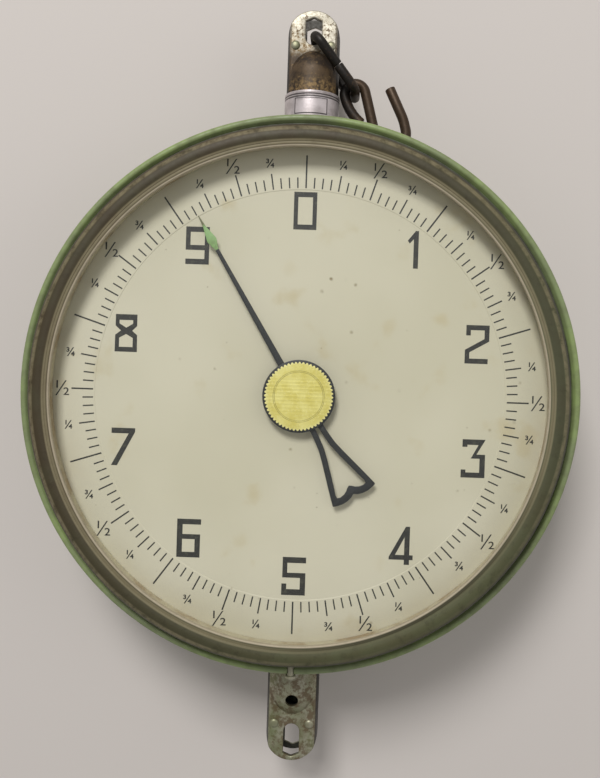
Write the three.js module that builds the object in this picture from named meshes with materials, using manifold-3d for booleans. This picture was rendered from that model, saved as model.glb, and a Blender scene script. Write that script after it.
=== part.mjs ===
// Hanging dial scale, 20 lb, in millimetres. The dial faces -Y and +Z is up.
// The part's origin is the seat at the pointed top of the upper eye. Inside this file every piece is
// placed from the point where the pointer's axis (along Y) crosses the tube's axis (along Z), and the
// whole group is lowered at the end so that the eye's seat comes to the origin.
import * as THREE from "three";
import { mergeVertices } from "three/addons/utils/BufferGeometryUtils.js";
import Module from "manifold-3d";

const wasm = await Module();
wasm.setup();

// Fits
const GAP = 0.3; // between pieces that sit face to face
const RUNNING = 0.1; // radial clearance of a shaft or tube that moves in a bore
const SCREW_HOLE = 0.3; // radial clearance of a screw, pin or stud in its hole

// Dial, glass and bezel
const OPENING_RADIUS = 153.6;
const DIAL_THICKNESS = 1;
const DIAL_EDGE_PLAY = 1.6; // dial's edge, inside the bezel's bore
const SPACER_HEIGHT = 8;
const SPACER_INSET = 2.6; // spacer ring's bore, outside the opening
const SPACER_WIDTH = 5;
const GLASS_THICKNESS = 2.8;
const GLASS_OVERHANG = 0.5; // glass's edge, outside the spacer ring
const GASKET_THICKNESS = 0.8;
const GASKET_INSET = 1; // gasket's bore, outside the opening
const BEZEL_WIDTH = 14.6; // bezel's outer edge, outside the opening
const BEZEL_THICKNESS = 1.4;
const BEZEL_ROUND = 7.5; // outer radius of the bezel's shoulder
const BEZEL_CREST = 3; // crest, ahead of the lip
const BEZEL_SLOPE = 15; // degrees, from the crest in to the lip
const LOCK_SCREW_RADIUS = 2;
const LOCK_HEAD_RADIUS = 3.4;
const LOCK_HEAD_HEIGHT = 1.7;

// Case: a drawn pan with a flange and a rolled rim
const RIM_MARGIN = 9.1; // rolled rim's edge, outside the bezel
const RIM_BEAD = 2.3;
const RIM_ROLL = [120, -150]; // degrees, where the rolled edge starts and ends round the bead
const RIM_LIP = 0.8; // flat left between the rolled edge and the flange's face
const WALL_INSET = 5.2; // pan's wall at the flange, inside the bezel's edge
const PAN_DRAFT = 4; // how far the wall draws in between the flange and the back corner
const PAN_CORNER = 18;
const PAN_FILLET = 3;
const CASE_WALL = 1.5;
const CASE_DEPTH = 84.5; // flange's front face to the flat back
const FLANGE_FORWARD = 39.5; // flange's front face, ahead of the tube's axis

// Tubes and their eyes
const TUBE_RADIUS = 17.5;
const TUBE_WALL = 2.5;
const EYE_THICKNESS = 19.8; // over both cheeks
const CHEEK = 3;
const UPPER_RISE = 91.8; // crown of the upper eye, above the case's wall
const UPPER_REACH = 41; // upper tube's end, inside the case's wall
const LOWER_DROP = 84.9; // crown of the lower eye, below the case's wall
const LOWER_REACH = 58; // lower tube's end, inside the case's wall
const SLOT_WIDTH = 10.7;
const SLOT_POINT = 2.2; // height of the slot's pointed end
const UPPER_SLOT_MARGIN = 4.8; // crown to the slot's point
const UPPER_SLOT_LENGTH = 18;
const UPPER_ARCH = 26.8; // crown to the top of the arch where the round tube starts
const UPPER_RIVETS = 23.4; // crown to the rivets
const LOWER_SLOT_MARGIN = 2.6;
const LOWER_SLOT_LENGTH = 22.2;
const LOWER_ARCH = 31.5;
const LOWER_RIVETS = 25.2;
const ARCH_HEIGHT = 16; // length over which the tube rounds out
const DOME_OVERLAP = 2; // the dome's solid end, inside the cheeks
const RIVET_RADIUS = 2;
const RIVET_HEAD_RADIUS = 3;
const RIVET_HEAD_HEIGHT = 1.4;
const RIVET_SPACING = 23.6;
const PIN_HOLE_RADIUS = 4.3;
const PIN_HOLE_FROM_CROWN = 43.3;
const BAND_HEIGHT = 25.4;
const BAND_THICKNESS = 0.8;
const BAND_RISE = 36.6; // band's top, above the case's wall

// Link and hook, bent from round wire
const LINK_WIRE_RADIUS = 3.2;
const LINK_LENGTH = 42.9; // between the wire's centres at the two ends
const LINK_WIDTH = 45.5; // between the wire's centres at the two limbs, at the eye
const LINK_FOOT_WIDTH = 24; // the same at the link's foot
const LINK_MIDDLE = 1.25; // middle of the link and of the hook, behind the tube's axis
const LINK_CORNER = 6.5; // the wire's centre, at each corner
const LINK_ANGLE = 40.2; // degrees from hanging straight down, towards +X
const LINK_REST = 38.4; // degrees round the slot's foot, from its lowest point towards +X
const LINK_JOINT = 0.5; // gap where the wire's two ends meet, in the front limb
const LINK_JOINT_DROP = 3; // that gap, below the limb's middle
const HOOK_WIRE_RADIUS = 3.5;
const EYE_PLAY = 0.4; // round the link's wire, in the round end of the hook's eye
const EYE_SIDE_RADIUS = 32.7; // the eye's loose side, which runs in to the shank
const HOOK_ANGLE = 14.7; // degrees from hanging straight down, towards +X
const HOOK_BEND_RADIUS = 10.5;
const HOOK_SHANK = 31; // centre of the eye's round end to the bend's centre
const HOOK_TIP_RISE = 7; // straight stretch above the bend's centre
const HOOK_TIP_LENGTH = 23;
const HOOK_TIP_LEAN = 11; // degrees, back over the throat

// Spring frame
const SPRING_SPACING = 84; // between the two springs' axes
const BAR_DEPTH = 20;
const BAR_HEIGHT = 14;
const UPPER_BAR_Z = 72;
const LOWER_BAR_Z = -52;
const STEM_RADIUS = 7;
const STEM_THREAD_RADIUS = 5;
const STEM_SHOULDER_RADIUS = 9;
const STEM_SHOULDER_HEIGHT = 6;
const PLUG_LENGTH = 22;
const PLUG_INSET = 2; // plug's end inside the tube's end
const NUT_ACROSS_FLATS = 17;
const NUT_HEIGHT = 7;
const THREAD_BEYOND_NUT = 2.5;
const CROSS_PIN_RADIUS = 3;
const CROSS_PIN_INSET = 0.5; // its ends, inside the tube's surface
const BAR_END = 10; // crosshead's end, outside the springs' axes
const SPRING_RADIUS = 10; // wire's centre
const SPRING_WIRE_RADIUS = 1;
const SPRING_TURNS = 17;
const SPRING_PITCH = 3.2;
const SPRING_END_RISE = 2; // straight wire, beyond a coil's radius from its last turn
const SPRING_END_START = 2.4; // first point of the bend in, beyond the last turn
const ANCHOR_RADIUS = 4;
const ANCHOR_HEAD_RADIUS = 7;
const ANCHOR_HEAD_HEIGHT = 4;
const ANCHOR_COLLAR_HEIGHT = 6;
const ANCHOR_BORE_DEPTH = 8;

// Pointer movement
const PINION_RADIUS = 3; // pitch circle
const PINION_TEETH = 10;
const TOOTH_BACKLASH = 0.3;
const PINION_ADDENDUM = 0.5;
const PINION_DEDENDUM = 0.75;
const RACK_ADDENDUM = 0.5;
const RACK_DEDENDUM = 0.7;
const PINION_LENGTH = 5.4;
const RACK_THICKNESS = 4;
const RACK_WIDTH = 6.3; // root of the teeth to the rack's back edge
const RACK_MARGIN = 8.7; // rack left above the pinion's axis at full load
const TRAVEL = 39.3; // unloaded to full load
const ARBOR_RADIUS = 2;
const ROLLER_RADIUS = 3;
const ROLLER_STUD_RADIUS = 1.5;
const PLATE_THICKNESS = 2.5;
const PLATE_WIDTH = 58;
const PLATE_BOTTOM = -36;
const FRONT_PLATE_TOP = 36;
const PLATE_SPACING = 29.3; // between the plates' inner faces
const PILLAR_EDGE = 7; // pillars, in from the plates' edges
const PILLAR_DROP = 9; // upper pillar, below the front plate's top
const PILLAR_RISE = 20; // lower pillar, above the plates' bottom
const FRAME_SCREW_EDGE = 9; // screws and standoffs, in from the rear plate's edges
const STANDOFF_RISE = 8; // lower standoff, above the plates' bottom
const STANDOFF_DROP = 17; // upper standoff, below the crosshead
const PILLAR_RADIUS = 3;
const PLATE_SCREW_RADIUS = 1.5;
const SCREW_DEPTH = 8; // of a screw's hole
const BUSH_RADIUS = 4;
const BUSH_FLANGE_RADIUS = 5.5;
const BUSH_FLANGE_HEIGHT = 1.5;
const STANDOFF_RADIUS = 4;
const CASE_SCREW_RADIUS = 2;

// Pointer, hub disc and seal
const POINTER_THICKNESS = 0.8;
const POINTER_ABOVE_DIAL = 4.6;
const POINTER_LENGTH = 129;
const POINTER_ROOT_WIDTH = 4.6;
const POINTER_NECK_WIDTH = 2.3;
const KITE_START = 106;
const KITE_WIDEST = 111.5;
const KITE_WIDTH = 6;
const KITE_END = 121;
const NEEDLE_ROOT_WIDTH = 1.8;
const NEEDLE_TIP_WIDTH = 0.6;
const TAIL_ROOT_WIDTH = 8.4; // at the hub
const TAIL_NECK = 35.6; // hub's centre to where the tail starts to flare
const TAIL_NECK_WIDTH = 11.2;
const TAIL_LENGTH = 70.8; // hub's centre to the tail's corners
const TAIL_WIDTH = 30.2; // at its corners
const TAIL_LOBE = 1.4; // rounded end, beyond the corners
const TAIL_CUSP = 2.2; // depth of the notch in the rounded end
const TAIL_BAR = 3.7; // width of the bars round the opening
const TAIL_OPENING_START = 18; // hub's centre to the opening
const TAIL_OPENING_CUSP = 3.3; // rise of the opening's end between its two lobes
const REST_ANGLE = -31; // degrees from the zero mark: the unloaded scale stands below zero
const COLLET_RADIUS = 6;
const COLLET_BELOW_DIAL = 2; // collet's end, behind the dial's back
const BOSS_WIDTH = 2; // pointer's boss, outside the collet
const HUB_WIDTH = 1; // round the collet: the dial's hole and the root of the pointer's arms
const ARBOR_BEYOND_POINTER = 0.4;
const DISC_RADIUS = 22.8;
const DISC_THICKNESS = 0.8;
const DISC_BOSS_HEIGHT = 0.7;
const SEAL_RADIUS = 21.6;
const SEAL_THICKNESS = 0.3;
const SEAL_POINTS = 56;
const SEAL_POINT_DEPTH = 1.3;

// Guide and collar where the tubes pass the case
const COLLAR_WIDTH = 6;
const COLLAR_HEIGHT = 7;
const GUIDE_WALL = 2;
const GUIDE_FLANGE = 5;
const GUIDE_FLANGE_HEIGHT = 3;
const GUIDE_NUT_HEIGHT = 4;
const GUIDE_BEYOND_NUT = 1;

// Roundness of the meshes
const RING_SEGMENTS = 56;
const TUBE_SEGMENTS = 28;
const SHAFT_SEGMENTS = 16;
const SCREW_SEGMENTS = 8;
const WIRE_SIDES = 8;
const WIRE_STEP = 3.6; // length of one facet along the link and the hook
const SPRING_SIDES = 4;
const SPRING_STEPS = 6; // to a turn

// Places that follow from the sizes. "Front" values are y, and lower y is nearer the viewer.
const flangeFront = -FLANGE_FORWARD;
const caseBack = flangeFront + CASE_DEPTH;
const caseInnerBack = caseBack - CASE_WALL;
const dialBack = flangeFront - GAP;
const dialFront = dialBack - DIAL_THICKNESS;
const spacerBack = dialFront - GAP;
const spacerFront = spacerBack - SPACER_HEIGHT;
const glassBack = spacerFront - GAP;
const glassFront = glassBack - GLASS_THICKNESS;
const gasketBack = glassFront - GAP;
const gasketFront = gasketBack - GASKET_THICKNESS;
const lipInner = gasketFront - GAP;
const lipFront = lipInner - BEZEL_THICKNESS;
const crestFront = lipFront - BEZEL_CREST;
const bezelRadius = OPENING_RADIUS + BEZEL_WIDTH;
const bezelBore = bezelRadius - BEZEL_THICKNESS;
const rimRadius = bezelRadius + RIM_MARGIN;
const panRadius = bezelRadius - WALL_INSET;
const upperTop = panRadius + UPPER_RISE;
const upperBottom = panRadius - UPPER_REACH;
const lowerTop = LOWER_REACH - panRadius;
const lowerBottom = -panRadius - LOWER_DROP;
const bandTop = panRadius + BAND_RISE;
const spacerBore = OPENING_RADIUS + SPACER_INSET;
const spacerRadius = spacerBore + SPACER_WIDTH;
const tubeBore = TUBE_RADIUS - TUBE_WALL;
const cheekFace = EYE_THICKNESS / 2;
const cheekInner = cheekFace - CHEEK;
const barFace = BAR_DEPTH / 2;
const rearPlateFront = barFace + GAP;
const rearPlateBack = rearPlateFront + PLATE_THICKNESS;
const frontPlateBack = rearPlateFront - PLATE_SPACING;
const frontPlateFront = frontPlateBack - PLATE_THICKNESS;
const rackBack = -barFace - GAP;
const rackFront = rackBack - RACK_THICKNESS;
const rackRoot = PINION_RADIUS + RACK_DEDENDUM;
const rackEdge = rackRoot + RACK_WIDTH;
const rackTop = TRAVEL + RACK_MARGIN;
const pointerBack = dialFront - POINTER_ABOVE_DIAL;
const pointerFront = pointerBack - POINTER_THICKNESS;
const toothPitch = (2 * Math.PI * PINION_RADIUS) / PINION_TEETH;
const barLength = SPRING_SPACING + 2 * BAR_END;
const eyeSeat = upperTop - UPPER_SLOT_MARGIN;
const rad = THREE.MathUtils.degToRad;

// Geometry helpers

function solid(geometry) {
  const bare = geometry.index ? geometry.toNonIndexed() : geometry.clone();
  bare.deleteAttribute("normal");
  bare.deleteAttribute("uv");
  const merged = mergeVertices(bare, 1e-4);
  return new wasm.Manifold(
    new wasm.Mesh({
      numProp: 3,
      vertProperties: merged.attributes.position.array,
      triVerts: new Uint32Array(merged.index.array),
    }),
  );
}

function geometryOf(body) {
  const mesh = body.getMesh();
  const geometry = new THREE.BufferGeometry();
  geometry.setAttribute("position", new THREE.BufferAttribute(mesh.vertProperties, 3));
  geometry.setIndex(new THREE.BufferAttribute(mesh.triVerts, 1));
  const flat = geometry.toNonIndexed();
  flat.computeVertexNormals();
  return flat;
}

// Twice the signed area of a closed outline.
function turning(points) {
  return points.reduce((sum, p, i) => {
    const q = points[(i + 1) % points.length];
    return sum + p[0] * q[1] - q[0] * p[1];
  }, 0);
}

// Revolves a closed outline of [radius, height] points about the Y axis.
function ringY(outline, segments) {
  const points = turning(outline) > 0 ? outline : [...outline].reverse();
  const profile = [...points, points[0]].map(([r, y]) => new THREE.Vector2(r, y));
  return new THREE.LatheGeometry(profile, segments);
}

// Revolves an outline that starts and ends on the axis about the Y axis.
function turnedY(outline, segments) {
  const points = turning(outline) > 0 ? outline : [...outline].reverse();
  const profile = points.map(([r, y]) => new THREE.Vector2(r, y));
  return new THREE.LatheGeometry(profile, segments);
}

// The same two about the Z axis.
const ringZ = (outline, segments) => ringY(outline, segments).rotateX(Math.PI / 2);
const turnedZ = (outline, segments) => turnedY(outline, segments).rotateX(Math.PI / 2);

// A washer or bush between two heights, and a plain rod.
const washer = (bore, radius, low, high) => [
  [bore, low],
  [radius, low],
  [radius, high],
  [bore, high],
];
const rod = (radius, low, high) => [
  [0, low],
  [radius, low],
  [radius, high],
  [0, high],
];

// A flat plate in the X-Z plane from its outline, between two depths.
function plate(shape, front, back, curveSegments = 12) {
  const settings = { depth: back - front, bevelEnabled: false, curveSegments };
  return new THREE.ExtrudeGeometry(shape, settings).rotateX(Math.PI / 2).translate(0, back, 0);
}

// A plate in the X-Y plane between two heights.
function slab(shape, low, high, curveSegments = 12) {
  const settings = { depth: high - low, bevelEnabled: false, curveSegments };
  return new THREE.ExtrudeGeometry(shape, settings).translate(0, 0, low);
}

function outlineShape(points) {
  return new THREE.Shape(points.map(([x, z]) => new THREE.Vector2(x, z)));
}

function rectangle(left, bottom, right, top) {
  return outlineShape([
    [left, bottom],
    [right, bottom],
    [right, top],
    [left, top],
  ]);
}

function roundHole(x, z, radius) {
  const hole = new THREE.Path();
  hole.absarc(x, z, radius, 0, 2 * Math.PI, true);
  return hole;
}

function hexagon(acrossFlats) {
  const corner = acrossFlats / Math.sqrt(3);
  const corners = [0, 1, 2, 3, 4, 5].map((i) => [
    corner * Math.cos((i * Math.PI) / 3),
    corner * Math.sin((i * Math.PI) / 3),
  ]);
  return outlineShape(corners);
}

// Points of an arc about a centre, angles in degrees.
function arc(cx, cy, radius, from, to, steps) {
  return Array.from({ length: steps + 1 }, (_, i) => {
    const angle = rad(from + ((to - from) * i) / steps);
    return [cx + radius * Math.cos(angle), cy + radius * Math.sin(angle)];
  });
}

// Round wire bent along a list of points.
function wire(points, radius, sides) {
  const path = new THREE.CatmullRomCurve3(points, false, "centripetal");
  const section = new THREE.Shape();
  section.absarc(0, 0, radius, 0, 2 * Math.PI, false);
  const settings = {
    steps: Math.round(path.getLength() / WIRE_STEP),
    extrudePath: path,
    curveSegments: sides / 2,
    bevelEnabled: false,
  };
  return new THREE.ExtrudeGeometry(section, settings);
}

// Materials, by finish
const paint = (color, roughness, metalness) =>
  new THREE.MeshStandardMaterial({ color, roughness, metalness });
const finish = {
  greenPaint: () => paint("#8a9a68", 0.5, 0),
  bezel: () => paint("#6c6a4e", 0.42, 0.7),
  glass: () =>
    new THREE.MeshStandardMaterial({
      color: "#eef2ee",
      roughness: 0.05,
      metalness: 0,
      transparent: true,
      opacity: 0.15,
    }),
  rubber: () => paint("#26261f", 0.8, 0),
  dial: () => paint("#c6c2a8", 0.55, 0),
  rustySteel: () => paint("#6a5236", 0.6, 0.8),
  plated: () => paint("#b9b6aa", 0.4, 0.9),
  blackWire: () => paint("#2b2723", 0.6, 0.6),
  blackPaint: () => paint("#1f2020", 0.45, 0),
  darkSteel: () => paint("#4c4a44", 0.5, 0.8),
  steel: () => paint("#8d8d88", 0.4, 0.9),
  brass: () => paint("#b08d4a", 0.35, 0.9),
  springSteel: () => paint("#5a5c60", 0.35, 0.9),
  gold: () => paint("#e1d778", 0.4, 0.3),
};

const scale = new THREE.Group();

function add(name, geometry, material) {
  const mesh = new THREE.Mesh(geometry, material);
  mesh.name = name;
  scale.add(mesh);
  return mesh;
}

// Case
function casePan() {
  const bead = rimRadius - RIM_BEAD;
  const wallBack = flangeFront + CASE_WALL;
  const cornerY = caseBack - PAN_CORNER;
  const backRadius = panRadius - PAN_DRAFT;
  const outside = [
    [0, caseBack],
    ...arc(backRadius - PAN_CORNER, cornerY, PAN_CORNER, 90, 0, 3),
    [panRadius, wallBack + PAN_FILLET],
    [panRadius + PAN_FILLET, wallBack],
    [bead - RIM_BEAD, wallBack],
    ...arc(bead, flangeFront, RIM_BEAD, ...RIM_ROLL, 5),
    [bead - RIM_BEAD - RIM_LIP, flangeFront],
  ];
  const inside = [
    [panRadius, flangeFront],
    [panRadius - CASE_WALL, flangeFront + PAN_FILLET],
    ...arc(backRadius - PAN_CORNER, cornerY, PAN_CORNER - CASE_WALL, 0, 90, 3),
    [0, caseInnerBack],
  ];
  const wall = solid(turnedY([...outside, ...inside], RING_SEGMENTS));
  const upperHole = turnedZ(rod(TUBE_RADIUS + SCREW_HOLE, panRadius / 2, rimRadius), TUBE_SEGMENTS);
  const guideRadius = TUBE_RADIUS + RUNNING + GUIDE_WALL + SCREW_HOLE;
  const lowerHole = turnedZ(rod(guideRadius, -rimRadius, -panRadius / 2), TUBE_SEGMENTS);
  const lockHole = turnedZ(
    rod(LOCK_SCREW_RADIUS + SCREW_HOLE, -rimRadius - 1, -bezelBore + 1),
    SCREW_SEGMENTS,
  ).translate(0, lockScrewY, 0);
  let pan = wall.subtract(solid(upperHole)).subtract(solid(lowerHole)).subtract(solid(lockHole));
  for (const [x, z] of standoffPlaces) {
    const hole = turnedY(
      rod(CASE_SCREW_RADIUS + SCREW_HOLE, caseInnerBack - 1, caseBack + 1),
      SCREW_SEGMENTS,
    );
    pan = pan.subtract(solid(hole.translate(x, 0, z)));
  }
  return geometryOf(pan);
}
const lockScrewY = flangeFront - RIM_BEAD / 2;
const standoffPlaces = [
  [-PLATE_WIDTH / 2 + FRAME_SCREW_EDGE, PLATE_BOTTOM + STANDOFF_RISE],
  [0, UPPER_BAR_Z - BAR_HEIGHT / 2 - STANDOFF_DROP],
];
add("case_pan", casePan(), finish.greenPaint());

// Bezel
function bezelRing() {
  const cx = bezelRadius - BEZEL_ROUND;
  const cy = crestFront + BEZEL_ROUND;
  const turn = 90 + BEZEL_SLOPE;
  const crest = arc(cx, cy, BEZEL_ROUND, 0, -turn, 5);
  const under = arc(cx, cy, BEZEL_ROUND - BEZEL_THICKNESS, -turn, 0, 3);
  const [slopeR, slopeY] = crest.at(-1);
  const lipR = OPENING_RADIUS + BEZEL_THICKNESS / 2;
  const fall = (slopeR - lipR) * Math.tan(rad(BEZEL_SLOPE));
  const outline = [
    [bezelRadius, flangeFront - GAP],
    ...crest,
    [lipR, slopeY + fall],
    [OPENING_RADIUS, slopeY + fall + BEZEL_THICKNESS / 2],
    [OPENING_RADIUS, lipInner],
    [lipR + BEZEL_THICKNESS, lipInner],
    ...under,
    [bezelBore, flangeFront - GAP],
  ];
  const ring = solid(ringY(outline, RING_SEGMENTS));
  const hole = turnedZ(
    rod(LOCK_SCREW_RADIUS + SCREW_HOLE, -bezelRadius - 1, -bezelBore + 1),
    SCREW_SEGMENTS,
  ).translate(0, lockScrewY, 0);
  return geometryOf(ring.subtract(solid(hole)));
}
add("bezel_ring", bezelRing(), finish.bezel());

add(
  "bezel_lock_screw",
  turnedZ(
    [
      [0, -rimRadius - GAP - LOCK_HEAD_HEIGHT],
      [LOCK_HEAD_RADIUS, -rimRadius - GAP - LOCK_HEAD_HEIGHT],
      [LOCK_HEAD_RADIUS, -rimRadius - GAP],
      [LOCK_SCREW_RADIUS, -rimRadius - GAP],
      [LOCK_SCREW_RADIUS, -bezelBore],
      [0, -bezelBore],
    ],
    SCREW_SEGMENTS,
  ).translate(0, lockScrewY, 0),
  finish.plated(),
);

// Glass and what holds it
const glassRadius = spacerRadius + GLASS_OVERHANG;
add("glass_lens", turnedY(rod(glassRadius, glassFront, glassBack), RING_SEGMENTS), finish.glass());
add(
  "glass_gasket",
  ringY(washer(OPENING_RADIUS + GASKET_INSET, spacerRadius, gasketFront, gasketBack), RING_SEGMENTS),
  finish.rubber(),
);
add(
  "spacer_ring",
  ringY(washer(spacerBore, spacerRadius, spacerFront, spacerBack), RING_SEGMENTS),
  finish.bezel(),
);
const dialHole = COLLET_RADIUS + HUB_WIDTH;
add(
  "dial_plate",
  ringY(washer(dialHole, bezelBore - DIAL_EDGE_PLAY, dialFront, dialBack), RING_SEGMENTS),
  finish.dial(),
);

// Tubes whose ends are pressed into two flat cheeks with the tube's round left at their sides. Local z
// runs from the crown at 0 down to the tube's end at -length, and the lower tube is turned upside down.
function eyeTube({ length, slotMargin, slotLength, arch, rivets, pinHole }) {
  const archStart = -arch;
  const domeFoot = archStart - ARCH_HEIGHT;
  // The dome's outline passes through the cheeks' face at the top of the arch.
  const domeOutline = (radius, face) =>
    [0, 1, 2, 3, 4].map((i) => {
      const share = i / 4;
      return [radius - (radius - face) * share ** 2, domeFoot + (archStart - domeFoot) * share];
    });
  const outer = turnedZ(
    [
      [0, -length],
      [TUBE_RADIUS, -length],
      ...domeOutline(TUBE_RADIUS, cheekFace),
      [cheekInner, archStart + DOME_OVERLAP],
      [0, archStart + DOME_OVERLAP],
    ],
    TUBE_SEGMENTS,
  );
  const inner = turnedZ(
    [
      [0, -length - 1],
      [tubeBore, -length - 1],
      ...domeOutline(tubeBore, cheekInner),
      [0, archStart],
    ],
    TUBE_SEGMENTS,
  );
  const cheekShape = new THREE.Shape();
  cheekShape.moveTo(-TUBE_RADIUS, domeFoot);
  cheekShape.lineTo(TUBE_RADIUS, domeFoot);
  cheekShape.lineTo(TUBE_RADIUS, -TUBE_RADIUS);
  cheekShape.absarc(0, -TUBE_RADIUS, TUBE_RADIUS, 0, Math.PI, false);
  const block = solid(plate(cheekShape, -cheekFace, cheekFace));
  const cheeks = block.intersect(solid(turnedZ(rod(TUBE_RADIUS, -length, 1), TUBE_SEGMENTS)));
  const between = plate(rectangle(-tubeBore, domeFoot, tubeBore, 1), -cheekInner, cheekInner);
  const slotPoint = -slotMargin;
  const slotFoot = slotPoint - slotLength + SLOT_WIDTH / 2;
  const slot = new THREE.Shape();
  slot.moveTo(0, slotPoint);
  slot.lineTo(-SLOT_WIDTH / 2, slotPoint - SLOT_POINT);
  slot.lineTo(-SLOT_WIDTH / 2, slotFoot);
  slot.absarc(0, slotFoot, SLOT_WIDTH / 2, Math.PI, 2 * Math.PI, false);
  slot.lineTo(SLOT_WIDTH / 2, slotPoint - SLOT_POINT);
  let body = solid(outer).add(cheeks);
  body = body.subtract(solid(inner)).subtract(solid(between));
  body = body.subtract(solid(plate(slot, -TUBE_RADIUS, TUBE_RADIUS, 10)));
  for (const side of [-1, 1]) {
    const hole = turnedY(rod(RIVET_RADIUS + SCREW_HOLE, -TUBE_RADIUS, TUBE_RADIUS), SCREW_SEGMENTS);
    body = body.subtract(solid(hole.translate((side * RIVET_SPACING) / 2, 0, -rivets)));
  }
  if (pinHole) {
    const hole = turnedY(rod(PIN_HOLE_RADIUS, -TUBE_RADIUS - 1, 0), SHAFT_SEGMENTS);
    body = body.subtract(solid(hole.translate(0, 0, -PIN_HOLE_FROM_CROWN)));
  }
  const pin = turnedY(
    rod(CROSS_PIN_RADIUS + SCREW_HOLE, -TUBE_RADIUS - 1, TUBE_RADIUS + 1),
    SCREW_SEGMENTS,
  );
  body = body.subtract(solid(pin.translate(0, 0, -length + PLUG_INSET + PLUG_LENGTH / 2)));
  return geometryOf(body);
}

function eyeRivet() {
  const shank = cheekFace + GAP;
  const head = shank + RIVET_HEAD_HEIGHT;
  return turnedY(
    [
      [0, -head],
      [RIVET_HEAD_RADIUS * 0.6, -head + 0.2],
      [RIVET_HEAD_RADIUS, -shank],
      [RIVET_RADIUS, -shank],
      [RIVET_RADIUS, shank],
      [RIVET_HEAD_RADIUS, shank],
      [RIVET_HEAD_RADIUS * 0.6, head - 0.2],
      [0, head],
    ],
    SCREW_SEGMENTS,
  );
}

const upperLength = upperTop - upperBottom;
const lowerLength = lowerTop - lowerBottom;
const upperTube = add(
  "upper_tube",
  eyeTube({
    length: upperLength,
    slotMargin: UPPER_SLOT_MARGIN,
    slotLength: UPPER_SLOT_LENGTH,
    arch: UPPER_ARCH,
    rivets: UPPER_RIVETS,
    pinHole: false,
  }),
  finish.rustySteel(),
);
upperTube.position.z = upperTop;
const lowerTube = add(
  "lower_tube",
  eyeTube({
    length: lowerLength,
    slotMargin: LOWER_SLOT_MARGIN,
    slotLength: LOWER_SLOT_LENGTH,
    arch: LOWER_ARCH,
    rivets: LOWER_RIVETS,
    pinHole: true,
  }),
  finish.plated(),
);
lowerTube.scale.z = -1;
lowerTube.position.z = lowerBottom;
for (const [side, x] of [
  ["left", -RIVET_SPACING / 2],
  ["right", RIVET_SPACING / 2],
]) {
  const upper = eyeRivet().translate(x, 0, upperTop - UPPER_RIVETS);
  const lower = eyeRivet().translate(x, 0, lowerBottom + LOWER_RIVETS);
  add(`upper_rivet_${side}`, upper, finish.plated());
  add(`lower_rivet_${side}`, lower, finish.plated());
}

// Band round the upper tube, and the collars that grip the case's wall
const bandBore = TUBE_RADIUS + GAP;
add(
  "tube_band",
  ringZ(washer(bandBore, bandBore + BAND_THICKNESS, bandTop - BAND_HEIGHT, bandTop), TUBE_SEGMENTS),
  finish.plated(),
);
const collarRadius = TUBE_RADIUS + SCREW_HOLE + COLLAR_WIDTH;
// The case's wall at the tube's axis, and how far it falls away across a collar's width
const wallAtTube = panRadius - (PAN_DRAFT * FLANGE_FORWARD) / (CASE_DEPTH - PAN_CORNER);
const wallFall = (radius) => {
  const inside = wallAtTube - PAN_DRAFT - CASE_WALL;
  return inside - Math.sqrt(inside ** 2 - radius ** 2);
};
const collarTop = wallAtTube - PAN_DRAFT - CASE_WALL - wallFall(collarRadius);
add(
  "inner_collar",
  ringZ(
    washer(TUBE_RADIUS + GAP, collarRadius, collarTop - COLLAR_HEIGHT, collarTop),
    TUBE_SEGMENTS,
  ),
  finish.darkSteel(),
);
const outerCollarLow = panRadius + GAP;
add(
  "outer_collar",
  ringZ(
    washer(TUBE_RADIUS + GAP, collarRadius, outerCollarLow, outerCollarLow + COLLAR_HEIGHT),
    TUBE_SEGMENTS,
  ),
  finish.darkSteel(),
);

// Guide bush of the lower tube, with its ring nut outside the case
const guideBore = TUBE_RADIUS + RUNNING;
const guideRadius = guideBore + GUIDE_WALL;
const guideFlangeRadius = guideRadius + GUIDE_FLANGE;
const guideSeat = -(wallAtTube - PAN_DRAFT - CASE_WALL - wallFall(guideFlangeRadius));
const guideEnd = -panRadius - GAP - GUIDE_NUT_HEIGHT - GUIDE_BEYOND_NUT;
add(
  "guide_bush",
  ringZ(
    [
      [guideBore, guideEnd],
      [guideRadius, guideEnd],
      [guideRadius, guideSeat],
      [guideFlangeRadius, guideSeat],
      [guideFlangeRadius, guideSeat + GUIDE_FLANGE_HEIGHT],
      [guideBore, guideSeat + GUIDE_FLANGE_HEIGHT],
    ],
    TUBE_SEGMENTS,
  ),
  finish.brass(),
);
add(
  "guide_bush_nut",
  ringZ(
    washer(
      guideRadius + GAP,
      guideFlangeRadius,
      -panRadius - GAP - GUIDE_NUT_HEIGHT,
      -panRadius - GAP,
    ),
    TUBE_SEGMENTS,
  ),
  finish.brass(),
);

// Crossheads, stems and nuts
function crosshead(z, drillings) {
  const shape = rectangle(-barLength / 2, -barFace, barLength / 2, barFace);
  shape.holes.push(roundHole(0, 0, STEM_THREAD_RADIUS + SCREW_HOLE));
  for (const side of [-1, 1])
    shape.holes.push(roundHole((side * SPRING_SPACING) / 2, 0, ANCHOR_RADIUS + SCREW_HOLE));
  let bar = solid(slab(shape, z - BAR_HEIGHT / 2, z + BAR_HEIGHT / 2, SHAFT_SEGMENTS / 2));
  for (const drilling of drillings) bar = bar.subtract(solid(drilling));
  return geometryOf(bar);
}

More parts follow.
